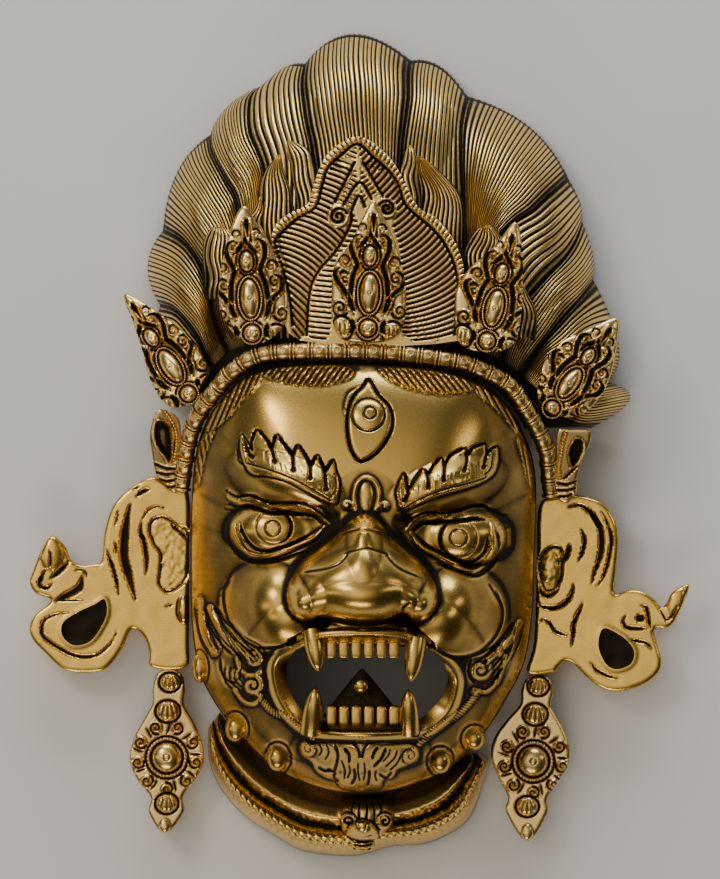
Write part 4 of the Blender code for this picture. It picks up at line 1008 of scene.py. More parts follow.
def detailCells(relief, ovals):
    detail = np.zeros(relief.z.shape, dtype=bool)
    for centre, halves in ovals:
        detail |= ovalDepth(relief.x, relief.y, centre, halves) > 0
    return detail


def makeFace():
    relief = faceRelief()
    outline = counterClockwise(spaced(smoothLine(face["outline"], 8, True), 1.1, True))
    opening = counterClockwise(spaced(smoothLine(mouth["opening"], 6, True), 0.8, True))
    # Black patina in the hollows, and painted shade: darker on steep sides and inside the listed shade loops, where no
    # ridge stands
    shade = 0.80 * relief.recess(2, 0.55) + 0.50 * relief.recess(7, 2.6)
    slope = np.hypot(*np.gradient(blurred(relief.z, 3), relief.step))
    shade = shade + 0.54 * np.clip((slope - 0.35) / 0.95, 0, 1)
    raised = np.clip((relief.z - blurred(relief.z, 5)) / 0.5, 0, 1)
    for loop, black in paintedShadeLoops:
        shade = shade + black * np.clip(relief.depthIn(smoothLine(loop, 4, True), 2.0), 0, 1) * (1 - raised)
    shade = np.clip(shade, 0, 1)
    detail = detailCells(relief, [
        ((-36, -13), (31, 23)), ((44, -16), (32, 22)), ((-40.5, -43), (31, 20)), ((48.5, -46.5), (31, 21)),
        ((4, 12), (15, 24)), ((3, -25.5), (15, 12)), ((2, -63), (38, 30)), ((-62.5, -105.5), (24, 31)),
        ((66, -105.5), (20, 30)), ((0.5, -160.5), (34, 17)), ((-36.5, -135.5), (24, 16)), ((40, -135.5), (24, 16)),
        ((1.5, -118.5), (52, 34)),
    ])
    for loop, angle in fringes:
        detail |= relief.inside(smoothLine(loop, 4, True))
    body = Body()
    sheetBody(
        body, relief, outline, [opening], [0.35, 0.9, 1.8], face["fine"], face["coarse"], detail,
        lambda points: relief.at(points, relief.z),
        lambda points: relief.at(points, blurred(relief.z, 6)) - face["wall"],
        lambda points: relief.at(points, shade), lip=face["wall"], lowPitch=3.0)
    body.piece("face_relief", finishes["face_brass"], ("face",), sharp=50)
    return relief


def makeTeeth(relief):
    body = Body()
    for level, height in (mouth["upperTeeth"], mouth["lowerTeeth"]):
        for index in range(mouth["toothCount"]):
            across = (index - (mouth["toothCount"] - 1) / 2) * mouth["toothPitch"]
            arch = -0.0016 * across ** 2
            lump(body, (mouth["middle"] + across, level, height + arch * 3), mouth["toothHalves"], 0.05, square=0.36)
    # The gum bars are painted darker, the lower one most: painted shade inside the mouth
    tube(body, smoothLine([((-31, -96.5)[0], (-31, -96.5)[1], 92.0), (1.0, (0.5, -96)[1], 94.5), ((35, -96.5)[0], (35, -96.5)[1], 92.0)]),
         4.4, 0.4)
    tube(body, smoothLine([((-26, -141.5)[0], (-26, -141.5)[1], 84.0), (1.0, (0.5, -142)[1], 86.0), ((29, -141.5)[0], (29, -141.5)[1], 84.0)]),
         4.2, 0.8)
    body.piece("teeth", finishes["face_brass"])
    body = Body()
    for foot, tip, radius, low, high in mouth["fangs"]:
        shares = np.linspace(0, 1, 14)
        path = np.column_stack([
            foot[0] + (tip[0] - foot[0]) * shares, foot[1] + (tip[1] - foot[1]) * shares,
            low + (high - low) * np.sin(shares * math.pi / 2)])
        tube(body, path, radius * np.sqrt(np.maximum(1 - shares ** 2.2, 0.02)), 0.08, sides=18)
    body.piece("fangs", finishes["face_brass"])
    body = Body()
    shares = np.linspace(0, 1, 24)
    path = np.column_stack([1.0 + 0 * shares, (1, -135)[1] + ((0.5, -111.5)[1] - (1, -135)[1]) * shares, 79 + 8 * shares])
    # The tongue is painted dark: painted shade inside the mouth
    tube(body, path, 19.0 * (1 - shares) ** 0.95 + 0.6, 0.75, sides=32, flat=0.42)
    lump(body, ((0.5, -120)[0], (0.5, -120)[1], 90.5), (3.9, 3.9, 3.2), 0.0)
    body.piece("tongue", finishes["face_brass"])
    body = Body()
    for centre, halves in jawStuds:
        spot = np.array([centre])
        level = float(relief.at(spot, blurred(relief.z, 3))[0])
        lump(body, (centre[0], centre[1], level + 0.5), (halves[0] * 0.82, halves[1] * 0.82, halves[2] * 0.8), 0.05, rings=14, sides=22)
    body.piece("jaw_studs", finishes["face_brass"])


def latticeBody(body, top, low, patina):
    # Closed body between two grids of points of the same size
    columns, rows = top.shape[:2]
    count = columns * rows
    grid = np.arange(count).reshape(columns, rows)
    a = grid[:-1, :-1].ravel()
    b = grid[1:, :-1].ravel()
    c = grid[1:, 1:].ravel()
    d = grid[:-1, 1:].ravel()
    faces = list(zip(a.tolist(), b.tolist(), c.tolist(), d.tolist()))
    faces += list(zip((d + count).tolist(), (c + count).tolist(), (b + count).tolist(), (a + count).tolist()))
    edge = np.concatenate([grid[:, 0], grid[-1, 1:], grid[-2::-1, -1], grid[0, -2:0:-1]])
    faces += wall(edge, edge + count)
    points = np.vstack([top.reshape(-1, 3), low.reshape(-1, 3)])
    # The underside is painted dark: painted shade
    shade = np.concatenate([np.array(patina).ravel(), np.full(count, 0.9)])
    return body.add(points, faces, shade)


# The fan of hair
hair = {
    # Valleys between the locks, from the rim to the root, and the point where each lock swells furthest
    "valleys": [
        [(-98.5, 22), (-90, 23), (-78.5, 27)], [(-100, 69.5), (-91, 66), (-82, 54.5), (-73.5, 38)],
        [(-98.5, 106.5), (-86.6, 99), (-77.1, 82), (-73, 62), (-66, 46)],
        [(-74.8, 154.5), (-73.7, 145.5), (-66.8, 131.7), (-61.6, 121.5), (-58.5, 102), (-57, 77), (-56, 49.5)],
        [(-49, 179), (-54.7, 173), (-55.5, 157.5), (-51.2, 145.5), (-48, 136), (-47, 117), (-47, 82), (-46, 52)],
        [(-27.5, 190), (-29, 179.8), (-28.2, 170), (-26.5, 158.5), (-24, 147), (-21, 122), (-20, 87), (-19, 54)],
        [(25.5, 191.7), (24.3, 184), (24.3, 172.7), (23, 163), (21, 147), (20, 122), (21, 87), (22, 54)],
        [(53.7, 173.8), (51.8, 167), (50.3, 156), (50.5, 142), (51.5, 122), (52, 87), (53, 49.5)],
        [(104.2, 132.5), (94, 123.5), (86, 116), (75.8, 109.5), (67, 99.5), (62, 77), (60, 46)],
        [(111, 111), (107.2, 100.5), (101, 91), (90, 79.5), (77.5, 64.5), (71, 42)],
        [(116.5, 82), (109.4, 72.5), (100.8, 62.7), (90, 49.5), (80, 34.5)],
        [(122.5, 31), (112.5, 29.5), (100, 27), (92.5, 24)], [(115.5, 8), (107.5, 9), (100, 12), (94, 16)],
    ],
    "bellies": [
        (-102, 46), (-106.2, 89), (-91.5, 136), (-66, 169), (-37.5, 188.5), (-3.7, 205), (40, 189),
        (85, 158.5), (110, 121), (116.5, 95), (129.5, 48.5), (135, 22.5),
    ],
    "middle": (1.5, 6), "belowBand": 7.6, "rim": 6.0, "power": 2.4, "round": 0.55, "strand": 2.5, "bulge": 3.2,
    "ridge": 1.25, "rows": 52, "wave": 1.3,
    # Locks of the inner tier: left edge and right edge, from the root to the tip
    "inner": [
        ([(-50.5, 91), (-51.2, 118), (-50.5, 128.5), (-46, 138), (-40.5, 144.5)], [(-30, 104.5), (-32, 116), (-34.5, 127), (-37.5, 136), (-39.5, 144)]),
        ([(-34, 104.5), (-32, 119.5), (-34.5, 134.5), (-36.5, 144.5), (-36.3, 151.5)], [(-22, 114.5), (-21, 127), (-22, 138), (-26, 147), (-35.5, 151.8)]),
        ([(-61, 97), (-58.5, 106), (-55, 114), (-52, 119.5), (-49.5, 124)], [(-42, 97), (-45, 106), (-46.5, 113), (-48, 119), (-49, 124)]),
        ([(16, 119.5), (19.5, 128), (20, 137), (21.5, 144.5), (24.5, 149)], [(31, 114.5), (30.5, 125.5), (29.5, 136), (28, 144.5), (25.5, 149)]),
        ([(28, 112), (29.5, 124), (29, 132), (28.5, 138), (29.5, 143.5)], [(53, 91), (53, 106), (50.3, 123.5), (40, 136), (30.5, 143.2)]),
        ([(51, 84.5), (51.5, 94.5), (54, 102), (58.5, 107), (63.5, 109.5)], [(70, 82), (72.5, 91), (72.5, 98.5), (69.5, 104.5), (64.5, 109.5)]),
        ([(-78, 72), (-78.5, 84.5), (-78.5, 94.5), (-78, 102), (-74, 108)], [(-63, 72), (-62, 84.5), (-61.5, 94.5), (-62.5, 102), (-67, 108)]),
        ([(72.5, 54.5), (71.5, 64.5), (72.5, 72), (75.5, 77), (79.5, 80)], [(87, 49.5), (88.5, 58), (88, 66), (85, 73), (80.5, 80)]),
    ],
}


def hairRim():
    line = []
    ends = [valley[0] for valley in hair["valleys"]]
    for start, end, belly in zip(ends, ends[1:], hair["bellies"]):
        line.append(lobe(start, belly, end, np.linspace(0, 1, 24)[:-1]))
    return np.vstack(line + [np.array([ends[-1]])])


def lobe(start, belly, end, shares):
    # Rounded rim of a lock through its belly point
    start = np.array(start)
    end = np.array(end)
    control = 2 * np.array(belly) - (start + end) / 2
    shares = np.asarray(shares)[..., None]
    return (1 - shares) ** 2 * start + 2 * shares * (1 - shares) * control + shares ** 2 * end


hairOuter = hairRim()
hairRootTable = radiusTable(face["outline"], hair["middle"])


def hairReach():
    offsets = hairOuter - np.array(hair["middle"])
    angles = np.arctan2(offsets[:, 1], offsets[:, 0])
    order = np.argsort(angles)
    return angles[order], np.hypot(offsets[:, 0], offsets[:, 1])[order]


hairReachTable = hairReach()


def hairShell(x, y):
    # Height of the fan under its locks
    dx = x - hair["middle"][0]
    dy = y - hair["middle"][1]
    angle = np.arctan2(dy, dx)
    inner = radiusAt(hairRootTable, angle) + 1.1
    outer = radiusAt(hairReachTable, angle)
    share = np.clip((np.hypot(dx, dy) - inner) / (outer - inner), 0, 1)
    edgeX = hair["middle"][0] + inner * np.cos(angle) - face["centre"][0]
    edgeY = hair["middle"][1] + inner * np.sin(angle) - face["centre"][1]
    root = wallTop(np.arctan2(edgeY, edgeX)) - hair["belowBand"]
    return hair["rim"] + (root - hair["rim"]) * np.maximum(1 - share ** hair["power"], 0) ** hair["round"]


def addLock(body, left, right, rim, lift, strands, draws, rows, tipPower=4.0):
    # One lock: strands run from the root to the rim between its two edges
    left = spaced(smoothLine(left), 1.0)
    right = spaced(smoothLine(right), 1.0)
    lengths = np.linspace(0, 1, rows)
    sides = []
    for line in (left, right):
        along = lengthsAlong(line) / lengthsAlong(line)[-1]
        sides.append(np.stack([np.interp(lengths, along, line[:, axis]) for axis in (0, 1)], axis=1))
    widths = draws.uniform(0.75, 1.25, strands)
    marks = np.concatenate([[0.0], np.cumsum(widths) / widths.sum()])
    across = np.concatenate([marks[index] + (marks[index + 1] - marks[index]) * np.array([0.0, 0.22, 0.5, 0.78])
                             for index in range(strands)] + [[1.0]])
    profile = np.tile([0.0, 0.8, 1.0, 0.8], strands)
    profile = np.append(profile, 0.0)
    plane = sides[0][None] * (1 - across[:, None, None]) + sides[1][None] * across[:, None, None]
    # The strands of a lock wave a little, all the same way
    drift = sides[1] - sides[0]
    drift = drift / np.maximum(np.linalg.norm(drift, axis=1, keepdims=True), 1e-6)
    wave = hair["wave"] * np.sin(lengths * math.pi * draws.uniform(2.0, 3.5) + draws.uniform(0, 6.3)) * np.sin(lengths * math.pi)
    edging = np.minimum(1, 6 * across * (1 - across))[:, None, None]
    plane = plane + drift[None] * wave[None, :, None] * edging
    if rim is not None:
        push = rim(across) - plane[:, -1]
        plane = plane + push[:, None] * (lengths ** tipPower)[None, :, None]
    bulge = (4 * across * (1 - across)) ** 0.55
    fade = np.clip(lengths * 6, 0, 1) * (1 - 0.75 * lengths ** 14)
    ridge = hair["ridge"] * (profile - 1)[:, None] * (fade * np.clip((1.03 - lengths) * 12, 0.25, 1))[None]
    shell = hairShell(plane[..., 0], plane[..., 1])
    height = shell + lift + hair["bulge"] * bulge[:, None] * fade[None] + ridge
    # Under the crest the strands keep clear of its face
    ceiling = crest["top"] + crest["slope"] * (plane[..., 1] - crest["at"][1]) - crest["clearance"]
    covered = crestCover.at(plane.reshape(-1, 2), crestCover.z).reshape(height.shape)
    height = height - covered * np.maximum(height - ceiling, 0)
    top = np.dstack([plane, height])
    low = np.dstack([plane, np.maximum(np.minimum(shell - 1.6, height - 0.8), 0.4)])
    # Dark in the grooves between strands and down the lock's sides; darker towards the root, painted shade under the
    # band
    shade = (1 - profile)[:, None] * 0.95 + 0.6 * (1 - bulge)[:, None] ** 1.5 + 0.35 * (1 - lengths ** 0.5)[None]
    latticeBody(body, top, low, np.clip(shade, 0, 1))


def makeHair():
    draws = np.random.default_rng(11)
    body = Body()
    valleys = [list(reversed(valley)) for valley in hair["valleys"]]
    for index in range(len(valleys) - 1):
        start = hair["valleys"][index][0]
        end = hair["valleys"][index + 1][0]
        belly = hair["bellies"][index]
        rim = lambda shares: lobe(start, belly, end, shares)
        width = lengthsAlong(lobe(start, belly, end, np.linspace(0, 1, 30)))[-1]
        strands = max(int(width / hair["strand"]), 5)
        addLock(body, valleys[index], valleys[index + 1], rim, 0.8 + 0.5 * (index % 2), strands, draws, hair["rows"])
    body.piece("hair_locks", finishes["hair_brass"], sharp=60)
    body = Body()
    for left, right in hair["inner"]:
        spans = np.linalg.norm(np.array(left[1]) - np.array(right[1]))
        addLock(body, left, right, None, 3.6, max(int(spans / 2.3), 4), draws, 30)
    body.piece("hair_inner_locks", finishes["hair_brass"], sharp=60)
    makeHairShell()
    makeCrest()


def makeHairShell():
    # Hollow shell under the locks, open round the face
    relief = Relief(hairOuter)
    relief.z = hairShell(relief.x, relief.y) + 0.4
    inner = []
    ends = np.arctan2(*(np.array([hairOuter[0], hairOuter[-1]]) - np.array(hair["middle"])).T[::-1])
    for angle in np.linspace(ends[1], ends[0] + 2 * math.pi * (ends[0] < ends[1]), 150):
        reach = float(radiusAt(hairRootTable, angle)) + 1.3
        inner.append((hair["middle"][0] + reach * math.cos(angle), hair["middle"][1] + reach * math.sin(angle)))
    outline = counterClockwise(np.vstack([spaced(hairOuter, 1.6), spaced(np.array(inner), 2.4)]))
    outline = moved(outline, 0.5)
    body = Body()
    # Painted dark all over: painted shade under the locks
    sheetBody(
        body, relief, outline, [], [1.0], 2.5, 2.5, np.zeros(relief.z.shape, dtype=bool),
        lambda points: relief.at(points, relief.z), lambda points: np.maximum(relief.at(points, relief.z) - 3.2, 0.0),
        lambda points: np.full(len(points), 0.9), lowPitch=4.0)
    body.piece("hair_shell", finishes["hair_brass"], ("hair",))


# The arched crest in front of the hair
crest = {
    "outline": [
        (-1.2, 153), (9.5, 148), (17.5, 139), (23.5, 127.5), (29.5, 117.5), (37.5, 113), (44.5, 105),
        (48.5, 97.5), (51.5, 88), (52, 72), (49.5, 51.5), (-29.5, 51.5), (-37, 78), (-40.5, 89.5),
        (-43.8, 99.2), (-42.2, 108.5), (-35.5, 114.5), (-26, 119.5), (-23.5, 127.5), (-19.5, 139),
        (-12.5, 148),
    ],
    "rimMiddle": [
        (-39, 88), (-42.5, 99), (-42, 105.5), (-34.5, 112.8), (-24.2, 118.2), (-21.2, 128.5), (-17.8, 138),
        (-11, 145.8), (-1, 151.2), (8, 145.5), (15.8, 137.5), (21.2, 128.2), (25.8, 118.8), (36.2, 110.5),
        (43.5, 102), (49, 91.5), (50.2, 76.5), (48.5, 57),
    ],
    "rimInner": [
        (-33.6, 59), (-35, 73), (-38.5, 87), (-42.2, 98.5), (-41.5, 102.5), (-32.2, 111.4), (-22.3, 117.7),
        (-18.8, 128.9), (-16, 137.3), (-9.7, 143.7), (-1.3, 149.3), (6.4, 143), (14.2, 136), (19.1, 129),
        (21.8, 120.5), (26.8, 114.9), (35.2, 107.9), (42.2, 99.5), (47.1, 88.2), (48.5, 76.3),
        (47.1, 54.5),
    ],
    "leftField": [
        (-42, 102.5), (-32, 111), (-22, 117.5), (-18.5, 128.5), (-15.5, 137), (-9.5, 143), (-3, 139.5),
        (-12.5, 120.5), (-16, 113.5), (-12, 108), (-6, 106), (-11.5, 97.5), (-21.5, 85.5), (-25.5, 74),
        (-27, 54), (-33.5, 54), (-35, 73), (-38.5, 87), (-42.5, 98.5),
    ],
    "rightField": [
        (2, 139.5), (6.5, 142.5), (14, 135.5), (19, 128.5), (22, 120), (26.8, 114.5), (35, 107.5),
        (42, 99), (47, 88), (48, 76.5), (46.5, 54), (21, 54), (20, 94.5), (16, 108), (18, 115),
        (15.5, 121), (11.3, 123.5),
    ],
    "strip": [
        (-4.5, 109), (-10.5, 97.5), (-20.5, 85.5), (-24.5, 74), (-26, 53.5), (-15, 53.5), (-13, 88),
        (-5.5, 99), (-0.5, 108), (-4, 116),
    ],
    "chevrons": [
        ([(-1.5, 149), (-9.5, 143.5), (-15.5, 136.5), (-11, 136), (-2.5, 140), (-1, 144)], -24.0, 2.4),
        ([(-0.5, 149), (6, 143), (13, 136.5), (9, 135), (1.5, 140), (-1, 144)], 44.0, 2.4),
        ([(-1.8, 138.5), (-11.5, 120.5), (-8, 119), (-0.8, 130)], -28.0, 2.3), ([(0.2, 130), (6, 122), (10, 123.8), (0.2, 138.5)], 34.0, 2.3),
        ([(-0.8, 128.5), (-7, 119), (-4.5, 116.5), (-1, 123)], -30.0, 2.2), ([(0.2, 128.5), (4.5, 122), (1.5, 118.5), (-0.2, 123)], 34.0, 2.2),
    ],
    "lines": [
        [(-2.7, 140.2), (-12.5, 120.5)], [(1.5, 140.2), (11.3, 123.3)], [(-8.3, 119.1), (-0.2, 130.3), (5.7, 121.9)],
        [(-4.1, 116.3), (-0.6, 123.5), (2.5, 118)],
        [(-4.5, 115), (-4.8, 109.3), (-11.1, 97.3), (-21, 85.5), (-25.2, 74.2), (-26.6, 54)],
    ],
    "spirals": [((-10.8, 113.2), 4.6, 20, 1), ((13.4, 117.3), 4.2, 160, -1)],
    "top": 70.0, "low": 57.0, "slope": -0.135, "at": (-1.5, 49.5), "clearance": 3.4,
}
crestCover = Relief(crest["outline"])
crestCover.z = np.clip(crestCover.depthIn(smoothLine(crest["outline"], 5, True), 2.5) / 2.5, 0, 1)


def makeCrest():
    relief = Relief(crest["outline"])
    relief.z = crest["top"] + crest["slope"] * (relief.y - crest["at"][1])
    relief.stroke(smoothLine(crest["rimMiddle"]), 2.6, 1.5, power=0.6)
    relief.strokes(ticksAlong(crest["rimMiddle"], 2.5, 3.4, 12), 0.55, -1.0)
    hatch(relief, smoothLine(crest["leftField"], 3, True), -30.0, 2.7, 1.5, bow=0.012)
    hatch(relief, smoothLine(crest["rightField"], 3, True), 40.0, 2.7, 1.5, bow=-0.011)
    hatch(relief, smoothLine(crest["strip"], 3, True), -6.0, 2.6, 1.3)
    for loop, angle, pitch in crest["chevrons"]:
        hatch(relief, np.array(loop), angle, pitch, 1.1)
    relief.stroke(smoothLine(crest["rimInner"]), 0.8, -1.6)
    relief.strokes([smoothLine(line) for line in crest["lines"]], 0.8, -1.6)
    for centre, radius, start, hand in crest["spirals"]:
        relief.stroke(ring(centre, radius), 1.3, 1.0, closed=True)
        relief.stroke(spiral(centre, radius, 1.6, start, hand=hand), 0.85, -1.9)
    outline = counterClockwise(spaced(smoothLine(crest["outline"], 5, True), 0.7, True))
    shade = np.clip(0.75 * relief.recess(2, 0.45) + 0.3 * relief.recess(6, 1.6), 0, 1)
    sheetPiece("hair_crest", relief, outline, [], 0.52, crest["low"] - crest["top"], shade, "hair_brass",
               floorBase=lambda points: crest["top"] + crest["slope"] * (points[:, 1] - crest["at"][1]))


def sheetPiece(name, relief, outline, holes, pitch, drop, shade, slot, nodes=(), floorBase=None):
    # A cast plate with relief on its front and a plain back
    body = Body()
    sheetBody(
        body, relief, outline, holes, [0.35, 0.9], pitch, pitch, np.ones(relief.z.shape, dtype=bool),
        lambda points: relief.at(points, relief.z), lambda points: floorBase(points) + drop,
        lambda points: relief.at(points, shade), lowPitch=5.0)
    return body.piece(name, finishes[slot], nodes, sharp=50)


# Leaves of the diadem. The carving is drawn once, on the middle leaf: millimetres right of and above its foot
leafCarving = {
    "long": ((0.7, 24.0), (4.6, 9.6)), "round": ((0.0, 6.6), (4.2, 4.2)), "small": ((1.0, 42.5), (3.2, 5.0)),
    "petals": [((-12.6, 6.4), (4.6, 6.0), 25.0), ((11.9, 5.0), (5.2, 5.4), -20.0)],
    "curls": [
        ((-14.0, 16.2), 4.4, 320, -1), ((15.6, 15.5), 3.8, 200, 1), ((-11.6, 31.0), 3.6, 200, -1), ((14.0, 31.6), 3.6, 340, 1),
        ((-11.4, 39.6), 3.0, 190, -1), ((13.0, 39.4), 3.0, 350, 1), ((-4.6, 50.0), 3.0, 190, -1), ((7.4, 50.6), 2.8, 350, 1),
        ((-2.6, 56.4), 2.0, 190, -1), ((6.8, 56.4), 2.0, 350, 1),
    ],
    "stems": [
        [(-6.8, 12.8), (-10.8, 23.2), (-16.2, 31.4), (-15.2, 35.4), (-11.4, 34.6)],
        [(7.6, 12.8), (11.2, 22.0), (16.8, 27.6), (17.4, 33.0), (14.0, 35.2)],
        [(-8.0, 30.2), (-5.4, 37.4), (-8.2, 45.0), (-8.0, 51.0), (-4.2, 53.0)],
        [(9.4, 30.2), (7.4, 37.4), (10.4, 45.0), (10.4, 51.0), (7.2, 53.4)],
        [(1.4, 49.5), (2.0, 56.0), (2.6, 64.0)], [(4.0, 49.5), (3.6, 56.0), (3.2, 64.0)],
        [(-5.4, 14.0), (-8.4, 18.0), (-8.2, 28.0), (-6.6, 36.0), (-2.6, 39.0)], [(6.6, 14.0), (9.4, 18.0), (9.6, 28.0), (8.0, 36.0), (4.6, 39.0)],
        [(-5.2, 46.0), (-1.4, 49.8), (1.0, 52.8), (3.4, 49.8), (7.0, 46.0)], [(-9.4, 3.0), (-7.4, 7.0), (-8.4, 11.0)], [(8.8, 3.0), (7.0, 7.0), (8.6, 11.0)],
    ],
    "height": 70.2, "stemWidth": 1.25, "stemDepth": 2.1, "curlWidth": 0.85, "curlDepth": 1.7, "stemRise": 1.3,
}
leaves = {
    "leaf_centre": {
        "outline": [
            (6.8, 121.2), (11.5, 113.5), (15, 106.5), (19, 95.5), (22.5, 80), (22.5, 62.5), (19, 55),
            (9.5, 51), (-4, 51), (-10.5, 54), (-14, 63), (-14, 74), (-13, 88), (-5.5, 99), (1, 112),
        ],
        "foot": (4, 51), "tip": (6.8, 121.2), "at": (4.5, 49.5), "height": 70.8, "right": 0.0, "up": -0.04,
    },
    "leaf_inner_left": {
        "outline": [
            (-57.5, 118.5), (-52, 111), (-44.5, 99.5), (-39.5, 86), (-36, 74), (-37, 61), (-44, 52.5),
            (-53, 49.5), (-61, 53), (-67, 61), (-70.2, 71.5), (-69, 88), (-63.5, 109.5),
        ],
        "foot": (-53, 48.5), "tip": (-57.5, 118.5), "at": (-53, 49.5), "height": 71.0, "right": 0.0, "up": -0.10,
    },
    "leaf_inner_right": {
        "outline": [
            (77, 110.5), (80.5, 99.5), (81, 84.5), (80.5, 67), (78, 53), (72.5, 47), (63, 45.5),
            (53, 47.5), (48, 53), (47, 65), (48, 77), (55, 88), (67, 98.5),
        ],
        "foot": (62, 45), "tip": (77, 110.5), "at": (63, 45.5), "height": 71.5, "right": 0.0, "up": -0.10,
    },
    "leaf_outer_left": {
        "outline": [
            (-117.5, 75), (-102.5, 67), (-92, 59), (-83.5, 51), (-77, 41), (-76.5, 35), (-79.5, 29),
            (-82, 23), (-89, 18.5), (-97, 20), (-102.5, 28), (-106, 36.5), (-109, 48.5), (-113, 60.5),
        ],
        "foot": (-82, 20), "tip": (-117.5, 75), "at": (-85, 24), "height": 56.5, "right": 0.30, "up": -0.16,
    },
    "leaf_outer_right": {
        "outline": [
            (128.2, 63), (128.5, 52), (125.5, 36), (120, 24), (111, 15), (101, 13.5), (93, 16.5),
            (88.5, 23.5), (89.5, 33), (91.5, 41), (97.5, 48), (103.5, 53), (115.5, 58),
        ],
        "foot": (92.5, 13), "tip": (128.2, 63), "at": (96, 21), "height": 56.5, "right": -0.30, "up": -0.16,
    },
}
leafThickness = 2.4


def makeLeaf(name):
    leaf = leaves[name]
    foot = np.array(leaf["foot"])
    axis = np.array(leaf["tip"]) - foot
    size = np.linalg.norm(axis) / leafCarving["height"]
    up = axis / np.linalg.norm(axis)
    right = np.array([up[1], -up[0]])
    turn = math.degrees(math.atan2(right[1], right[0]))
    at = np.array(leaf["at"])

    def place(spot):
        # The middle leaf leans a little, so its carving is set straight first
        x = spot[0] - spot[1] * 0.04
        return foot + size * (right * x + up * spot[1])

    def plane(points):
        return leaf["height"] + leaf["right"] * (points[:, 0] - at[0]) + leaf["up"] * (points[:, 1] - at[1])

    relief = Relief(leaf["outline"], step=0.3)
    relief.z = leaf["height"] + leafThickness + leaf["right"] * (relief.x - at[0]) + leaf["up"] * (relief.y - at[1])
    outline = smoothLine(leaf["outline"], 5, True)
    relief.plate(outline, 1.6, 4.0)
    for centre, radius, start, hand in leafCarving["curls"]:
        spot = place(centre)
        relief.swell(spot, (radius * size, radius * size), 2.0)
        relief.stroke(spiral(spot, radius * size, 1.35, start + turn, hand=hand), leafCarving["curlWidth"], -leafCarving["curlDepth"])
    for stem in leafCarving["stems"]:
        line = smoothLine([place(spot) for spot in stem])
        relief.stroke(line, leafCarving["stemWidth"], -leafCarving["stemDepth"], taper=0.2)
        relief.stroke(line + 1.6 * right, 0.8, leafCarving["stemRise"], taper=0.2)
        relief.stroke(line - 1.6 * right, 0.8, leafCarving["stemRise"], taper=0.2)
    for centre, halves, lean in leafCarving["petals"]:
        spot = place(centre)
        relief.stroke(ring(spot, halves[0] * size, stretch=halves[1] / halves[0], turn=turn + lean), 0.8, -1.4, closed=True)
        relief.swell(spot, (halves[0] * size, halves[1] * size), 1.8, turn=turn + lean)
        relief.stroke(np.array([place((centre[0] - 1.6, centre[1] - 4)), place((centre[0] - 1.2, centre[1] + 3.4))]), 0.5, -0.9, taper=0.3)
        relief.stroke(np.array([place((centre[0] + 1.0, centre[1] - 4)), place((centre[0] + 1.2, centre[1] + 3.4))]), 0.5, -0.9, taper=0.3)
    for key, rise in (("long", 3.4), ("round", 3.0), ("small", 2.4)):
        centre, halves = leafCarving[key]
        spot = place(centre)
        wide = halves[0] * size
        tall = halves[1] * size
        relief.stroke(ring(spot, wide + 2.1, stretch=(tall + 2.1) / (wide + 2.1), turn=turn), 0.7, -1.3, closed=True)
        relief.stroke(ring(spot, wide + 0.4, stretch=(tall + 0.4) / (wide + 0.4), turn=turn), 0.6, -1.3, closed=True)
        relief.swell(spot, (wide, tall), rise, turn=turn)
        relief.stroke(ring(spot, 0.9, count=16), 0.35, -0.5, closed=True)
        if key != "small":
            ringLine = ring(spot, wide + 1.25, count=90, stretch=(tall + 1.25) / (wide + 1.25), turn=turn)
            beads = spaced(ringLine, 1.15, True)
            levels = relief.at(beads, relief.z)
            beadRings.append((np.column_stack([beads, levels + 0.25]), 0.52))
    edge = counterClockwise(spaced(outline, 0.55, True))
    shade = np.clip(0.9 * relief.recess(2, 0.40) + 0.48 * relief.recess(8, 1.5), 0, 1)
    sheetPiece(name + "_relief", relief, edge, [], 0.5, 0.0, shade, "ornament_brass", (name,), plane)


beadRings = []


def makeBeadRings():
    # Geometry Nodes sets a small ball on every point of the bead rings
    points = np.vstack([line for line, radius in beadRings])
    mesh = bpy.data.meshes.new("bead_rings")
    mesh.from_pydata((points * metre).tolist(), [], [])
    radii = mesh.attributes.new("beadRadius", "FLOAT", "POINT")
    radii.data.foreach_set("value", np.concatenate([np.full(len(line), radius) for line, radius in beadRings]).astype(np.float32))
    tree, ends = nodeTree("beadRings", {"Segments": ("NodeSocketInt", 8), "Rings": ("NodeSocketInt", 6)})
    ball = tree.nodes.new("GeometryNodeMeshUVSphere")
    ball.inputs["Radius"].default_value = metre
    tree.links.new(ends[0].outputs["Segments"], ball.inputs["Segments"])
    tree.links.new(ends[0].outputs["Rings"], ball.inputs["Rings"])
    size = tree.nodes.new("GeometryNodeInputNamedAttribute")
    size.inputs["Name"].default_value = "beadRadius"
    setOn = tree.nodes.new("GeometryNodeInstanceOnPoints")
    tree.links.new(ends[0].outputs["Geometry"], setOn.inputs["Points"])
    tree.links.new(ball.outputs["Mesh"], setOn.inputs["Instance"])
    tree.links.new(size.outputs["Attribute"], setOn.inputs["Scale"])
    endTree(tree, ends, setOn.outputs["Instances"], finishes["ornament_brass"])
    thing = bpy.data.objects.new("bead_rings", mesh)
    bpy.context.scene.collection.objects.link(thing)
    grow(thing, tree, {"Segments": 8, "Rings": 6})
    finishPiece(thing)


def nodeTree(name, inputs):
    tree = bpy.data.node_groups.new(name, "GeometryNodeTree")
    tree.interface.new_socket("Geometry", in_out="INPUT", socket_type="NodeSocketGeometry")
    for label, (kind, value) in inputs.items():
        socket = tree.interface.new_socket(label, in_out="INPUT", socket_type=kind)
        socket.default_value = value
    tree.interface.new_socket("Geometry", in_out="OUTPUT", socket_type="NodeSocketGeometry")
    return tree, (tree.nodes.new("NodeGroupInput"), tree.nodes.new("NodeGroupOutput"))


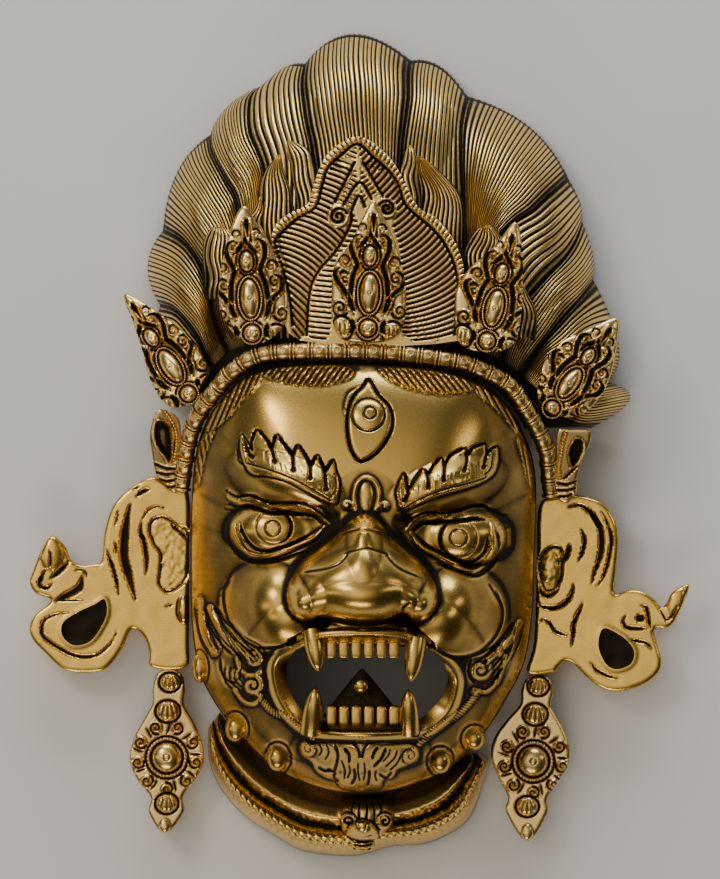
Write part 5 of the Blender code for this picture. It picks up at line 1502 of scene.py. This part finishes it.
def endTree(tree, ends, instances, material):
    # Every tree ends in real meshes with their material on
    realize = tree.nodes.new("GeometryNodeRealizeInstances")
    dress = tree.nodes.new("GeometryNodeSetMaterial")
    dress.inputs["Material"].default_value = material
    tree.links.new(instances, realize.inputs["Geometry"])
    tree.links.new(realize.outputs["Geometry"], dress.inputs["Geometry"])
    tree.links.new(dress.outputs["Geometry"], ends[1].inputs["Geometry"])


def grow(thing, tree, values):
    # Runs a tree on an object and keeps the result as its plain mesh
    modifier = thing.modifiers.new("nodes", "NODES")
    modifier.node_group = tree
    for item in tree.interface.items_tree:
        if item.in_out == "INPUT" and item.name in values:
            modifier[item.identifier] = values[item.name]
    bpy.context.view_layer.update()
    shown = thing.evaluated_get(bpy.context.evaluated_depsgraph_get())
    mesh = bpy.data.meshes.new_from_object(shown)
    thing.modifiers.remove(modifier)
    thing.data = mesh
    mesh.shade_smooth()
    print("%s: %d faces" % (thing.name, len(mesh.polygons)))


# Panels under the outer leaves
ornaments = {
    "side_ornament_left": {
        "outline": [
            (-101, 16.5), (-103.5, 11), (-104.8, 3), (-103.5, -6), (-102.5, -12), (-101, -16.5),
            (-98, -19.5), (-94, -23.5), (-91.5, -23), (-90.5, -10), (-89.5, -0.5), (-89.5, 8.5),
            (-91, 13.5), (-97, 17),
        ],
        "drop": [(-101, 11.5), (-102.5, 5.5), (-101, -1), (-97, -6.5), (-95.2, -9), (-94, -4), (-94.5, 5), (-96, 9.5)],
        "beads": [(-97, 16), (-93.6, 11), (-91.5, 5.5), (-91.7, -2), (-92.8, -8)],
        "folds": [
            [(-102, -10), (-97, -12), (-91.5, -12.5)], [(-101.5, -14), (-97, -15), (-91.5, -14.5)], [(-100, -17.5), (-96, -18.5), (-91.5, -17.5)],
            [(-97, -21), (-94.5, -21.5), (-91.5, -20.5)],
        ],
        "at": (-100, 2), "height": 31.0, "up": 0.28,
    },
    "side_ornament_right": {
        "outline": [
            (98.5, 6.5), (106.5, 7.5), (114, 7), (115, 2), (111, -8), (108.2, -17), (107.8, -24),
            (103, -29.5), (98, -26), (97, -18), (98, -6.5),
        ],
        "drop": [(107, 2), (104.5, -3), (104.5, -7), (106, -11.5), (108.5, -8.5), (110.5, -4), (111, 0.5), (109, 2.5)],
        "beads": [(102.5, 5), (101, -0.5), (100.2, -5.5), (99.2, -11.5), (99.5, -17)],
        "folds": [
            [(98.5, -19.5), (103.5, -20), (107.5, -18.5)], [(98.5, -23), (103, -23), (107, -22)], [(99.5, -26), (103, -26), (105.5, -25)],
            [(108, -11), (105, -14), (102, -17)],
        ],
        "at": (107.5, -3), "height": 31.0, "up": 0.26,
    },
}
ornamentThickness = 5.0


def makeOrnament(name):
    panel = ornaments[name]
    relief = Relief(panel["outline"], step=0.3)
    relief.z = panel["height"] + ornamentThickness + panel["up"] * (relief.y - panel["at"][1])
    outline = smoothLine(panel["outline"], 5, True)
    relief.plate(outline, 0.8, 2.0)
    drop = smoothLine(panel["drop"], 5, True)
    relief.plate(drop, -2.2, 0.8)
    relief.stroke(drop, 1.2, 1.6, closed=True)
    beads = spaced(smoothLine(panel["beads"]), 1.6)
    relief.stroke(beads, 1.4, -1.0)
    beadRings.append((np.column_stack([beads, relief.at(beads, relief.z) + 0.6]), 0.85))
    relief.strokes([smoothLine(line) for line in panel["folds"]], 0.8, -1.5)
    edge = counterClockwise(spaced(outline, 0.6, True))
    shade = 0.9 * relief.recess(2, 0.4) + 0.6 * relief.recess(6, 1.3) + 0.5 * relief.inside(drop)
    shade = np.clip(shade, 0, 1)
    sheetPiece(name + "_relief", relief, edge, [], 0.55, 0.0, shade, "ornament_brass", (name,),
               lambda points: panel["height"] + panel["up"] * (points[:, 1] - panel["at"][1]))


# Ears, each with its lobe drawn out into an S-curl
ears = {
    "ear_left": {
        "outline": [
            (-85.5, -25), (-93.5, -21.5), (-102.5, -16.5), (-114, -21.5), (-123, -30.5), (-127.5, -43.5),
            (-129, -58), (-133, -60), (-139.5, -60.5), (-144.5, -57.5), (-147, -51.5), (-153.5, -45.5),
            (-158.5, -51.5), (-163.5, -64), (-165, -69), (-162, -74.5), (-154, -78), (-161.5, -84.5),
            (-165, -91), (-163.5, -97.5), (-157.5, -104), (-147, -113), (-133, -114), (-126, -111.5),
            (-119, -102.5), (-114, -92.5), (-108, -96), (-105, -104), (-104, -111.5), (-87, -111.5),
            (-85.5, -98), (-85.5, -58),
        ],
        "hole": [
            (-127.5, -77.5), (-126.5, -85), (-130.5, -93.5), (-135.5, -99), (-143, -100.5), (-148.5, -96),
            (-148.5, -89.5), (-142, -84.5), (-132.5, -80),
        ],
        "gouges": [
            (2.3, 2.4, [(-114.6, -30.5), (-116.1, -36.5), (-117.5, -46), (-117.8, -56), (-115.3, -66), (-112, -77.5)]),
            (0.95, 1.7, [(-126.8, -52.5), (-123, -63), (-120.2, -75.5)]), (0.7, 1.3, [(-122.3, -49), (-121.5, -55.5)]),
            (0.5, 0.9, [(-120.5, -32.8), (-122.3, -41)]), (1.2, 1.6, [(-111.7, -26.5), (-109, -24), (-104.7, -22.5)]),
            (0.6, 1.0, [(-114, -23.2), (-109.8, -20.7)]), (0.5, 0.9, [(-96, -32.8), (-101, -31.2), (-106.2, -33.5), (-108.8, -38.5)]),
            (1.25, 1.8, [(-108.8, -38.5), (-109.5, -44), (-107.7, -49.5), (-106.5, -58.5), (-106.9, -65.5)]),
            (0.8, 1.2, [(-95, -39.4), (-90.5, -43.5), (-85.5, -48)]), (0.6, 0.9, [(-97.5, -81.5), (-93, -80)]),
            (1.1, 1.5, [(-156.5, -62.5), (-159, -66.5), (-160.1, -70.5), (-156.1, -72), (-153.5, -69.5)]), (1.4, 1.7, [(-144.7, -58.5), (-149.5, -63), (-154.5, -67.5)]),
            (0.6, 1.0, [(-136.2, -67.2), (-137, -64.4), (-139.2, -62.9), (-143, -63.5)]), (2.0, 2.0, [(-138.5, -66), (-140, -71.5), (-145.8, -75.4), (-152.5, -78.6)]),
            (0.6, 1.0, [(-137.8, -78.2), (-148, -78.2), (-152.5, -79.5)]),
            (0.9, 1.5, [(-141.5, -84), (-151.7, -85.2), (-157.5, -88), (-159, -92.2), (-158.2, -96), (-151.7, -101), (-142.8, -105.5), (-134.8, -106.1),
                        (-129, -104), (-123, -98), (-121.2, -93)]),
            (0.8, 1.2, [(-155, -52), (-154.5, -58), (-155, -63)]),
        ],
        "concha": [
            (-85.5, -44.5), (-91, -41), (-95, -38), (-99, -36.5), (-104, -38.5), (-105, -44),
            (-102.5, -50.5), (-99.5, -55.5), (-100, -64.5), (-100.2, -70), (-96, -74), (-90, -71),
            (-86, -65),
        ],
        "swells": [((-88, -82.5), (3.2, 7.0), 2.6), ((-154, -54.5), (6.0, 9.0), 1.8)], "tarnishAndShade": 0.0,
    },
    "ear_right": {
        "outline": [
            (89.5, -31), (98.5, -25.5), (108, -25.5), (121, -29.5), (127.5, -38.5), (129, -48.5),
            (128, -61.5), (127, -74.5), (134, -73), (140.5, -73.5), (146.5, -77), (150.5, -81.5),
            (153.5, -79), (156, -74), (164.5, -70.5), (158, -87), (153, -92), (147, -92.5), (148.5, -100),
            (150.5, -107.5), (149, -114), (141.5, -120), (130, -123.5), (121, -122), (113.5, -116.5),
            (107, -110), (102.5, -108.5), (98.5, -112), (96.5, -114), (83.5, -114), (87, -98), (88.5, -58),
        ],
        "hole": [
            (119, -100.5), (121.5, -92), (130, -95.5), (135, -100), (137, -104.5), (135, -110),
            (128, -112.5), (122.5, -109.5),
        ],
        "gouges": [
            (1.5, 2.0, [(104, -31.5), (109.5, -30.5), (115, -34), (119.5, -41), (120.7, -47.5), (120, -56), (117.5, -63), (116, -69.5)]),
            (0.9, 1.5, [(120.4, -33.5), (124, -41), (125.5, -48), (124, -58.5), (121, -67.5), (118, -71.5)]),
            (1.0, 1.6, [(110.5, -42.5), (112.2, -48), (111, -54), (109, -59)]), (1.5, 1.9, [(105, -50), (103.5, -55), (101.2, -59.5)]),
            (1.0, 1.5, [(89.5, -69.5), (90.5, -74), (94, -76), (98.5, -73), (100, -71)]),
            (1.3, 1.8, [(88.5, -79), (91, -81.2), (96.9, -82), (102, -79.8), (105.5, -75.5), (106.8, -70)]),
            (1.1, 1.6, [(111.5, -79), (109.5, -83.5), (107, -89), (106.5, -94), (105.8, -101)]),
            (0.9, 1.4, [(89, -89.3), (91.8, -87.8), (94.5, -89.3), (97, -93), (101.2, -95), (105.5, -96)]),
            (1.0, 1.5, [(132.8, -85.5), (131.4, -88.5), (133, -91.5), (138.5, -92.2), (144.5, -92.2)]),
            (0.9, 1.4, [(139.5, -80.5), (142.5, -81.2), (143.8, -85), (144.5, -90), (145.5, -93)]),
            (0.8, 1.3, [(134.3, -97.7), (138.5, -98.5), (143, -99.5), (146, -103)]), (0.8, 1.3, [(114.5, -108.5), (118, -112.8), (124, -116), (130, -117.5)]),
            (0.6, 1.0, [(149, -81), (151.5, -86), (153.5, -88), (156.5, -84.5), (160, -78)]),
        ],
        "concha": [(89.5, -58), (94.5, -52), (100, -52), (101, -59), (100.5, -67), (97.5, -72), (93, -73.5), (90, -68)],
        "swells": [((95, -62), (4.0, 9.0), 1.2), ((158, -79), (5.0, 8.0), 1.2), ((139.8, -87), (2.2, 2.2), -2.2)], "tarnishAndShade": 0.16,
    },
}
earShape = {"low": 13.0, "thickness": 4.0, "edge": 2.6, "rise": 1.4, "shadeSheetAt": 14.0, "shadeSheetPast": 1.05}


def makeEar(name):
    ear = ears[name]
    relief = Relief(ear["outline"])
    relief.z += earShape["low"] + earShape["thickness"] - 0.4
    outline = smoothLine(ear["outline"], 5, True)
    hole = smoothLine(ear["hole"], 5, True)
    relief.plate(outline, earShape["rise"], earShape["edge"])
    relief.stroke(hole, 2.0, 0.5, closed=True)
    concha = smoothLine(ear["concha"], 4, True)
    hollow = relief.inside(concha)
    relief.plate(concha, -0.9, 0.8)
    relief.stroke(concha, 0.8, -1.0, closed=True)
    for centre, halves, rise in ear["swells"]:
        relief.swell(centre, halves, rise)
    for width, depth, line in ear["gouges"]:
        line = smoothLine(line)
        relief.stroke(line, width, -depth - 0.3, taper=0.3)
    draws = np.random.default_rng(3)
    dents = blurred(draws.standard_normal(relief.z.shape), 5) * 16
    stipple = blurred(draws.standard_normal(relief.z.shape), 1) * 3
    relief.z += 0.05 * dents.clip(-2, 2) + 0.22 * stipple.clip(-2, 2) * hollow
    edge = counterClockwise(spaced(outline, 0.8, True))
    holeEdge = counterClockwise(spaced(hole, 0.8, True))
    # The right ear is painted darker all over: tarnish, and painted shade on the side away from the light
    shade = np.clip(ear["tarnishAndShade"] + 1.1 * relief.recess(3, 0.55) + 0.3 * relief.recess(8, 1.4), 0, 1)
    sheetPiece(name + "_relief", relief, edge, [holeEdge], 0.8, 0.0, shade, "ear_brass", (name,),
               lambda points: np.full(len(points), earShape["low"]))
    # A near-black sheet set a little under the curl's face closes its through-hole: painted shade, a dark sheet where
    # the hole is open
    wall = Relief(ear["hole"])
    wall.z += earShape["shadeSheetAt"] + 0.4 * dents[:wall.z.shape[0], :wall.z.shape[1]]
    centre = hole.mean(axis=0)
    shadeSheetEdge = counterClockwise(spaced(centre + (hole - centre) * earShape["shadeSheetPast"], 1.0, True))
    sheetPiece(name + "_hollow", wall, shadeSheetEdge, [], 1.2, 0.0, np.ones(wall.z.shape), "ear_brass", (name,),
               lambda points: np.full(len(points), earShape["shadeSheetAt"] - 0.6))


# Drops under the ears
pendants = {
    "pendant_left": {
        "outline": [
            (-95, -112.5), (-89, -115), (-87.5, -123), (-88, -130), (-83, -139), (-78.5, -150.5),
            (-78.5, -160.5), (-83.5, -169), (-88.5, -176.5), (-88, -184), (-97.5, -194.5), (-105.5, -184),
            (-104.5, -176.5), (-111, -168), (-115, -158), (-113, -147), (-107, -136), (-103.5, -129),
            (-103.5, -123), (-101.5, -115),
        ],
        "boss": (-96.5, -156.5), "buds": [((-95, -119), 4.6), ((-96, -133.5), 5.4), ((-96.5, -179.5), 5.0)], "tip": (-97.5, -191),
    },
    "pendant_right": {
        "outline": [
            (89, -115), (95, -117.5), (96.5, -124), (95.5, -131), (100.5, -140), (104.5, -150.5),
            (104, -159.5), (99, -168.5), (93.5, -177), (93.5, -184.5), (83.5, -198.5), (73, -184),
            (74, -176.5), (69.5, -167.5), (65.5, -156.5), (67, -147), (73.5, -137.5), (80, -130),
            (80.5, -123), (83, -117.5),
        ],
        "boss": (86.5, -158.5), "buds": [((89, -121), 4.6), ((87.5, -135), 5.4), ((83.5, -181), 5.0)], "tip": (83.5, -194),
    },
}
pendantShape = {"low": 12.0, "thickness": 5.0, "bossRadius": 7.6, "bossRise": 5.2, "scrolls": 9, "scrollReach": 14.4}


def makePendant(name):
    drop = pendants[name]
    relief = Relief(drop["outline"], step=0.3)
    relief.z += pendantShape["low"] + pendantShape["thickness"] - 0.6
    outline = smoothLine(drop["outline"], 5, True)
    relief.plate(outline, 1.2, 2.2)
    boss = np.array(drop["boss"])
    for index in range(pendantShape["scrolls"]):
        angle = 90 + 360 / pendantShape["scrolls"] * (index + 0.5)
        side = np.array([math.cos(math.radians(angle)), math.sin(math.radians(angle))])
        spot = boss + side * pendantShape["scrollReach"] * (1.0 + 0.10 * abs(side[1]))
        hand = 1 if side[0] > 0 else -1
        relief.swell(spot, (3.4, 3.4), 1.6)
        relief.stroke(spiral(spot, 3.2, 1.3, angle + 180, hand=hand), 0.75, -1.6)
        across = np.array([-side[1], side[0]])
        relief.stroke(np.array([boss + side * 10.8 + across * 3.6, boss + side * 17.5 + across * 4.6]), 0.7, -1.2, taper=0.3)
    for centre, radius in drop["buds"]:
        relief.swell(centre, (radius + 0.6, radius), 3.4)
        for lean in (-0.55, 0.0, 0.55):
            start = np.array(centre) + (lean * radius * 0.4, radius * 0.95)
            finish = np.array(centre) + (lean * radius * 1.3, -radius * 0.9)
            relief.stroke(np.array([start, finish]), 0.6, -1.1, taper=0.3)
        relief.stroke(ring(centre, radius + 0.8, stretch=0.9), 0.7, -1.2, closed=True)
    relief.swell(drop["tip"], (3.0, 4.4), 1.6)
    relief.stroke(ring(boss, pendantShape["bossRadius"] + 2.9), 0.8, -1.4, closed=True)
    relief.stroke(ring(boss, pendantShape["bossRadius"] + 0.3), 0.7, -1.3, closed=True)
    relief.swell(boss, (pendantShape["bossRadius"],) * 2, pendantShape["bossRise"], power=0.5)
    relief.stroke(ring(boss, 1.6, count=20), 0.4, -0.6, closed=True)
    beads = spaced(ring(boss, pendantShape["bossRadius"] + 1.7, count=90), 1.75, True)
    beadRings.append((np.column_stack([beads, relief.at(beads, relief.z) + 0.4]), 0.85))
    edge = counterClockwise(spaced(outline, 0.55, True))
    shade = np.clip(0.85 * relief.recess(2, 0.45) + 0.45 * relief.recess(7, 1.6), 0, 1)
    sheetPiece(name + "_relief", relief, edge, [], 0.5, 0.0, shade, "ornament_brass", (name,),
               lambda points: np.full(len(points), pendantShape["low"]))


# The beaded band over the forehead
band = {
    "line": [
        (-89, -23), (-88, -12.5), (-85.5, -2), (-83, 7), (-78.5, 14.5), (-73.5, 22.5), (-68, 32),
        (-60.5, 38.5), (-53.5, 43), (-43.5, 45.5), (-28, 46), (5, 45.5), (30.5, 43), (49, 41), (62.5, 36),
        (74.5, 29), (82.5, 17.5), (89, 6.5), (93, -3.5), (94.5, -16), (95.5, -26),
    ],
    "radius": 4.4, "pitch": 9.0, "clearance": 1.06, "gap": 0.5, "ringRadius": 0.55, "dotRadius": 1.7, "sides": 20,
}


def bandPath():
    # The band's middle line, pushed out to clear the face, with its height
    line = spaced(smoothLine(band["line"]), 0.7)
    offsets = line - np.array(face["centre"])
    angles = np.arctan2(offsets[:, 1], offsets[:, 0])
    reach = np.maximum(np.hypot(offsets[:, 0], offsets[:, 1]),
                       radiusAt(faceRadii, angles) + (band["radius"] + band["gap"]) * band["clearance"])
    return np.column_stack([
        face["centre"][0] + reach * np.cos(angles), face["centre"][1] + reach * np.sin(angles), wallTop(angles) + 0.5])


def makeBand():
    path = bandPath()
    along = lengthsAlong(path)
    beads = int(round(along[-1] / band["pitch"]))
    phase = along / along[-1] * beads
    place = (phase % 1.0) - 0.5
    radii = band["radius"] * (0.80 + 0.17 * np.sqrt(np.maximum(1 - (place / 0.34) ** 2, 0)))
    body = Body()
    shade = 0.25 + 0.45 * (np.abs(place) > 0.33)
    shade = np.concatenate([[0.5], np.repeat(shade, band["sides"]), [0.5]])
    tube(body, path, radii, shade, sides=band["sides"])
    body.piece("headband_bar", finishes["ornament_brass"], ("headband",))
    # Geometry Nodes wraps a pair of rings round the bar between the beads
    marks = np.concatenate([np.arange(beads + 1) - 0.10, np.arange(beads + 1) + 0.10])
    marks = np.clip(marks, 0.05, beads - 0.05) / beads * along[-1]
    spots = np.stack([np.interp(marks, along, path[:, axis]) for axis in range(3)], axis=1)
    ahead = np.stack([np.interp(marks + 0.5, along, path[:, axis]) for axis in range(3)], axis=1)
    behind = np.stack([np.interp(marks - 0.5, along, path[:, axis]) for axis in range(3)], axis=1)
    setRings("headband_rings", spots, ahead - behind, band["radius"] * 0.94, 0.62)
    # and sets a small ring on each bead
    marks = (np.arange(beads) + 0.5) / beads * along[-1]
    spots = np.stack([np.interp(marks, along, path[:, axis]) for axis in range(3)], axis=1)
    outward = spots[:, :2] - np.array(face["centre"])
    outward /= np.linalg.norm(outward, axis=1, keepdims=True)
    normals = np.column_stack([outward * 0.25, np.full(len(spots), 0.97)])
    setRings("headband_dots", spots + normals * band["radius"] * 0.95, normals, 1.5, 0.42)


def setRings(name, spots, directions, radius, thickness):
    mesh = bpy.data.meshes.new(name)
    mesh.from_pydata((spots * metre).tolist(), [], [])
    facing = mesh.attributes.new("facing", "FLOAT_VECTOR", "POINT")
    facing.data.foreach_set("vector", (directions / np.linalg.norm(directions, axis=1, keepdims=True)).astype(np.float32).ravel())
    tree, ends = nodeTree(name, {
        "Ring radius": ("NodeSocketFloat", radius * metre), "Wire radius": ("NodeSocketFloat", thickness * metre)})
    loop = tree.nodes.new("GeometryNodeCurvePrimitiveCircle")
    loop.inputs["Resolution"].default_value = 22
    wire = tree.nodes.new("GeometryNodeCurvePrimitiveCircle")
    wire.inputs["Resolution"].default_value = 8
    tree.links.new(ends[0].outputs["Ring radius"], loop.inputs["Radius"])
    tree.links.new(ends[0].outputs["Wire radius"], wire.inputs["Radius"])
    solid = tree.nodes.new("GeometryNodeCurveToMesh")
    tree.links.new(loop.outputs["Curve"], solid.inputs["Curve"])
    tree.links.new(wire.outputs["Curve"], solid.inputs["Profile Curve"])
    attribute = tree.nodes.new("GeometryNodeInputNamedAttribute")
    attribute.data_type = "FLOAT_VECTOR"
    attribute.inputs["Name"].default_value = "facing"
    turn = tree.nodes.new("FunctionNodeAlignRotationToVector")
    turn.axis = "Z"
    tree.links.new(attribute.outputs["Attribute"], turn.inputs["Vector"])
    setOn = tree.nodes.new("GeometryNodeInstanceOnPoints")
    tree.links.new(ends[0].outputs["Geometry"], setOn.inputs["Points"])
    tree.links.new(solid.outputs["Mesh"], setOn.inputs["Instance"])
    tree.links.new(turn.outputs["Rotation"], setOn.inputs["Rotation"])
    endTree(tree, ends, setOn.outputs["Instances"], finishes["ornament_brass"])
    thing = bpy.data.objects.new(name, mesh)
    bpy.context.scene.collection.objects.link(thing)
    grow(thing, tree, {"Ring radius": radius * metre, "Wire radius": thickness * metre})
    finishPiece(thing)


# Serpent collar under the jaw
serpent = {
    "outer": [
        (-76, -142), (-75.5, -158), (-69.5, -172.5), (-57.5, -186), (-41.5, -196.5), (-29.5, -203),
        (-15, -205.5), (-0.5, -205.5), (16.5, -201), (31, -200), (43.5, -195.5), (55.5, -186),
        (62.5, -166.5), (64.5, -159), (59.5, -154),
    ],
    "start": (-70.5, -134), "finish": (53, -155.5), "gap": 0.5, "columns": 420, "rows": 64,
    "heights": [16.0, 22.0, 24.5, 19.5, 25.5, 27.0, 20.0, 9.0, 1.0], "shares": [0.0, 0.22, 0.42, 0.56, 0.68, 0.80, 0.92, 0.98, 1.0],
    "headOutline": [
        (-11.5, -184), (-9.5, -178.5), (-4, -175.5), (3, -175), (10, -175.5), (15.5, -178.5), (17.5, -184),
        (16, -190), (12, -194.5), (8, -198), (7, -202.5), (1, -203.5), (-5, -202.5), (-6.5, -198),
        (-9.5, -191),
    ],
    "headDome": ((3, -185.5), (15.5, 12.5), 19.0), "neck": ((1, -197), (8.5, 10.0), 8.0), "headBase": 18.0,
    "headLines": [
        [(3, -176), (3.5, -182), (3, -189), (2, -194)], [(-2, -176.5), (-4, -181), (-4, -185.5)], [(8, -176.5), (10.5, -181), (10.5, -185.5)],
        [(0.5, -176.5), (-0.5, -182), (-0.5, -188)], [(5.5, -176.5), (7, -182), (7, -188)], [(-7.5, -197), (1, -198.5), (9, -197)],
        [(-6.5, -199), (1, -200.5), (8, -199)], [(-6, -201), (1, -202.5), (7.5, -201)], [(-5, -194), (1, -196), (8, -194)],
    ],
    "headEyes": [(-6, -188), (12.5, -188)],
}


def makeSerpent():
    draws = np.random.default_rng(5)
    outer = smoothLine(serpent["outer"])
    along = lengthsAlong(outer)
    places = np.linspace(0, 1, serpent["columns"])
    edge = np.stack([np.interp(places * along[-1], along, outer[:, axis]) for axis in (0, 1)], axis=1)
    centre = np.array(face["centre"])
    first = math.atan2(serpent["start"][1] - centre[1], serpent["start"][0] - centre[0])
    last = math.atan2(serpent["finish"][1] - centre[1], serpent["finish"][0] - centre[0])
    angles = first + (last - first) * places
    reach = radiusAt(faceRadii, angles) + serpent["gap"]
    root = centre + reach[:, None] * np.stack([np.cos(angles), np.sin(angles)], axis=1)
    shares = np.linspace(0, 1, serpent["rows"])
    plane = root[:, None] * (1 - shares)[None, :, None] + edge[:, None] * shares[None, :, None]
    height = np.interp(shares, serpent["shares"], serpent["heights"])
    height = blurred(np.tile(height, (8, 1)), 1)[4]
    ends = np.clip(np.minimum(places, 1 - places) * 14, 0, 1) ** 0.5
    height = 1.0 + (height[None] - 1.0) * (0.45 + 0.55 * ends)[:, None]
    # Rough ground near the jaw, rows of scales on the body
    rough = blurred(draws.standard_normal(height.shape), 1) * 1.7
    rough = rough * np.exp(-((shares - 0.55) / 0.10) ** 2)[None] * (0.7 + 0.6 * places)[:, None]
    scaleRow = shares * 13
    scalePlace = places[:, None] * along[-1] / 4.2 + 0.5 * (np.floor(scaleRow)[None] % 2)
    scales = (np.abs(np.sin(np.pi * scalePlace)) ** 0.5) * (np.abs(np.sin(np.pi * (scaleRow % 1)))[None] ** 0.4)
    onBody = np.clip((shares - 0.60) * 9, 0, 1) * np.clip((0.97 - shares) * 14, 0, 1)
    crevice = np.exp(-((shares - 0.56) / 0.05) ** 2)
    height = height + rough * (1 - onBody)[None] + 0.9 * (scales - 0.7) * onBody[None]
    # Dark between the scales and in the crevice; darker along the edge by the jaw and along the outer rim, painted
    # shade there
    shade = 0.38 * (1 - scales) * onBody[None] + 0.9 * crevice[None] - rough * 0.25 + 0.2 * np.clip(1 - shares * 14, 0, 1)[None]
    shade = np.clip(shade + 0.5 * np.clip((shares - 0.94) * 14, 0, 1)[None], 0, 1)
    top = np.dstack([plane, np.maximum(height, 0.8)])
    low = np.dstack([plane, np.maximum(height - 3.2, 0.0)])
    body = Body()
    latticeBody(body, top[:, ::-1], low[:, ::-1], shade[:, ::-1])
    body.piece("serpent_collar", finishes["hair_brass"], ("serpent",), sharp=60)
    makeSerpentHead()


def makeSerpentHead():
    relief = Relief(serpent["headOutline"], step=0.3)
    relief.z += serpent["headBase"]
    outline = smoothLine(serpent["headOutline"], 5, True)
    relief.plate(outline, 2.0, 2.0)
    for centre, halves, rise in (serpent["headDome"], serpent["neck"]):
        relief.swell(centre, halves, rise, power=0.5)
    relief.strokes([smoothLine(line) for line in serpent["headLines"]], 0.6, -1.1, taper=0.2)
    for index, spot in enumerate(serpent["headEyes"]):
        relief.stroke(ring(spot, 3.4), 1.2, 2.0, closed=True)
        relief.stroke(spiral(spot, 3.6, 1.4, 200, hand=1 - 2 * index), 0.6, -1.4)
    edge = counterClockwise(spaced(outline, 0.6, True))
    shade = np.clip(0.25 + 0.9 * relief.recess(2, 0.45) + 0.4 * relief.recess(7, 1.8), 0, 1)
    sheetPiece("serpent_head", relief, edge, [], 0.55, 0.0, shade, "hair_brass",
               floorBase=lambda points: np.full(len(points), 10.0))


def makeFloor():
    half = view["floorSize"] / 2 * metre
    mesh = bpy.data.meshes.new("floor")
    level = -0.2 * metre
    mesh.from_pydata([(-half, -half, level), (half, -half, level), (half, half, level), (-half, half, level)], [], [(0, 1, 2, 3)])
    finish = Finish(bpy.data.materials.new("floor"))
    finish.shade({"Base Color": view["floorColour"], "Roughness": 0.8})
    mesh.materials.append(finish.material)
    floor = bpy.data.objects.new("floor", mesh)
    bpy.context.scene.collection.objects.link(floor)


setCamera()
setLamps()
setSky()
makeFloor()
finishes = {name: brassFinish(name) for name in brassLooks}
faceMap = makeFace()
makeTeeth(faceMap)
makeHair()
for name in leaves:
    makeLeaf(name)
for name in ornaments:
    makeOrnament(name)
for name in ears:
    makeEar(name)
for name in pendants:
    makePendant(name)
makeBand()
makeSerpent()
makeBeadRings()
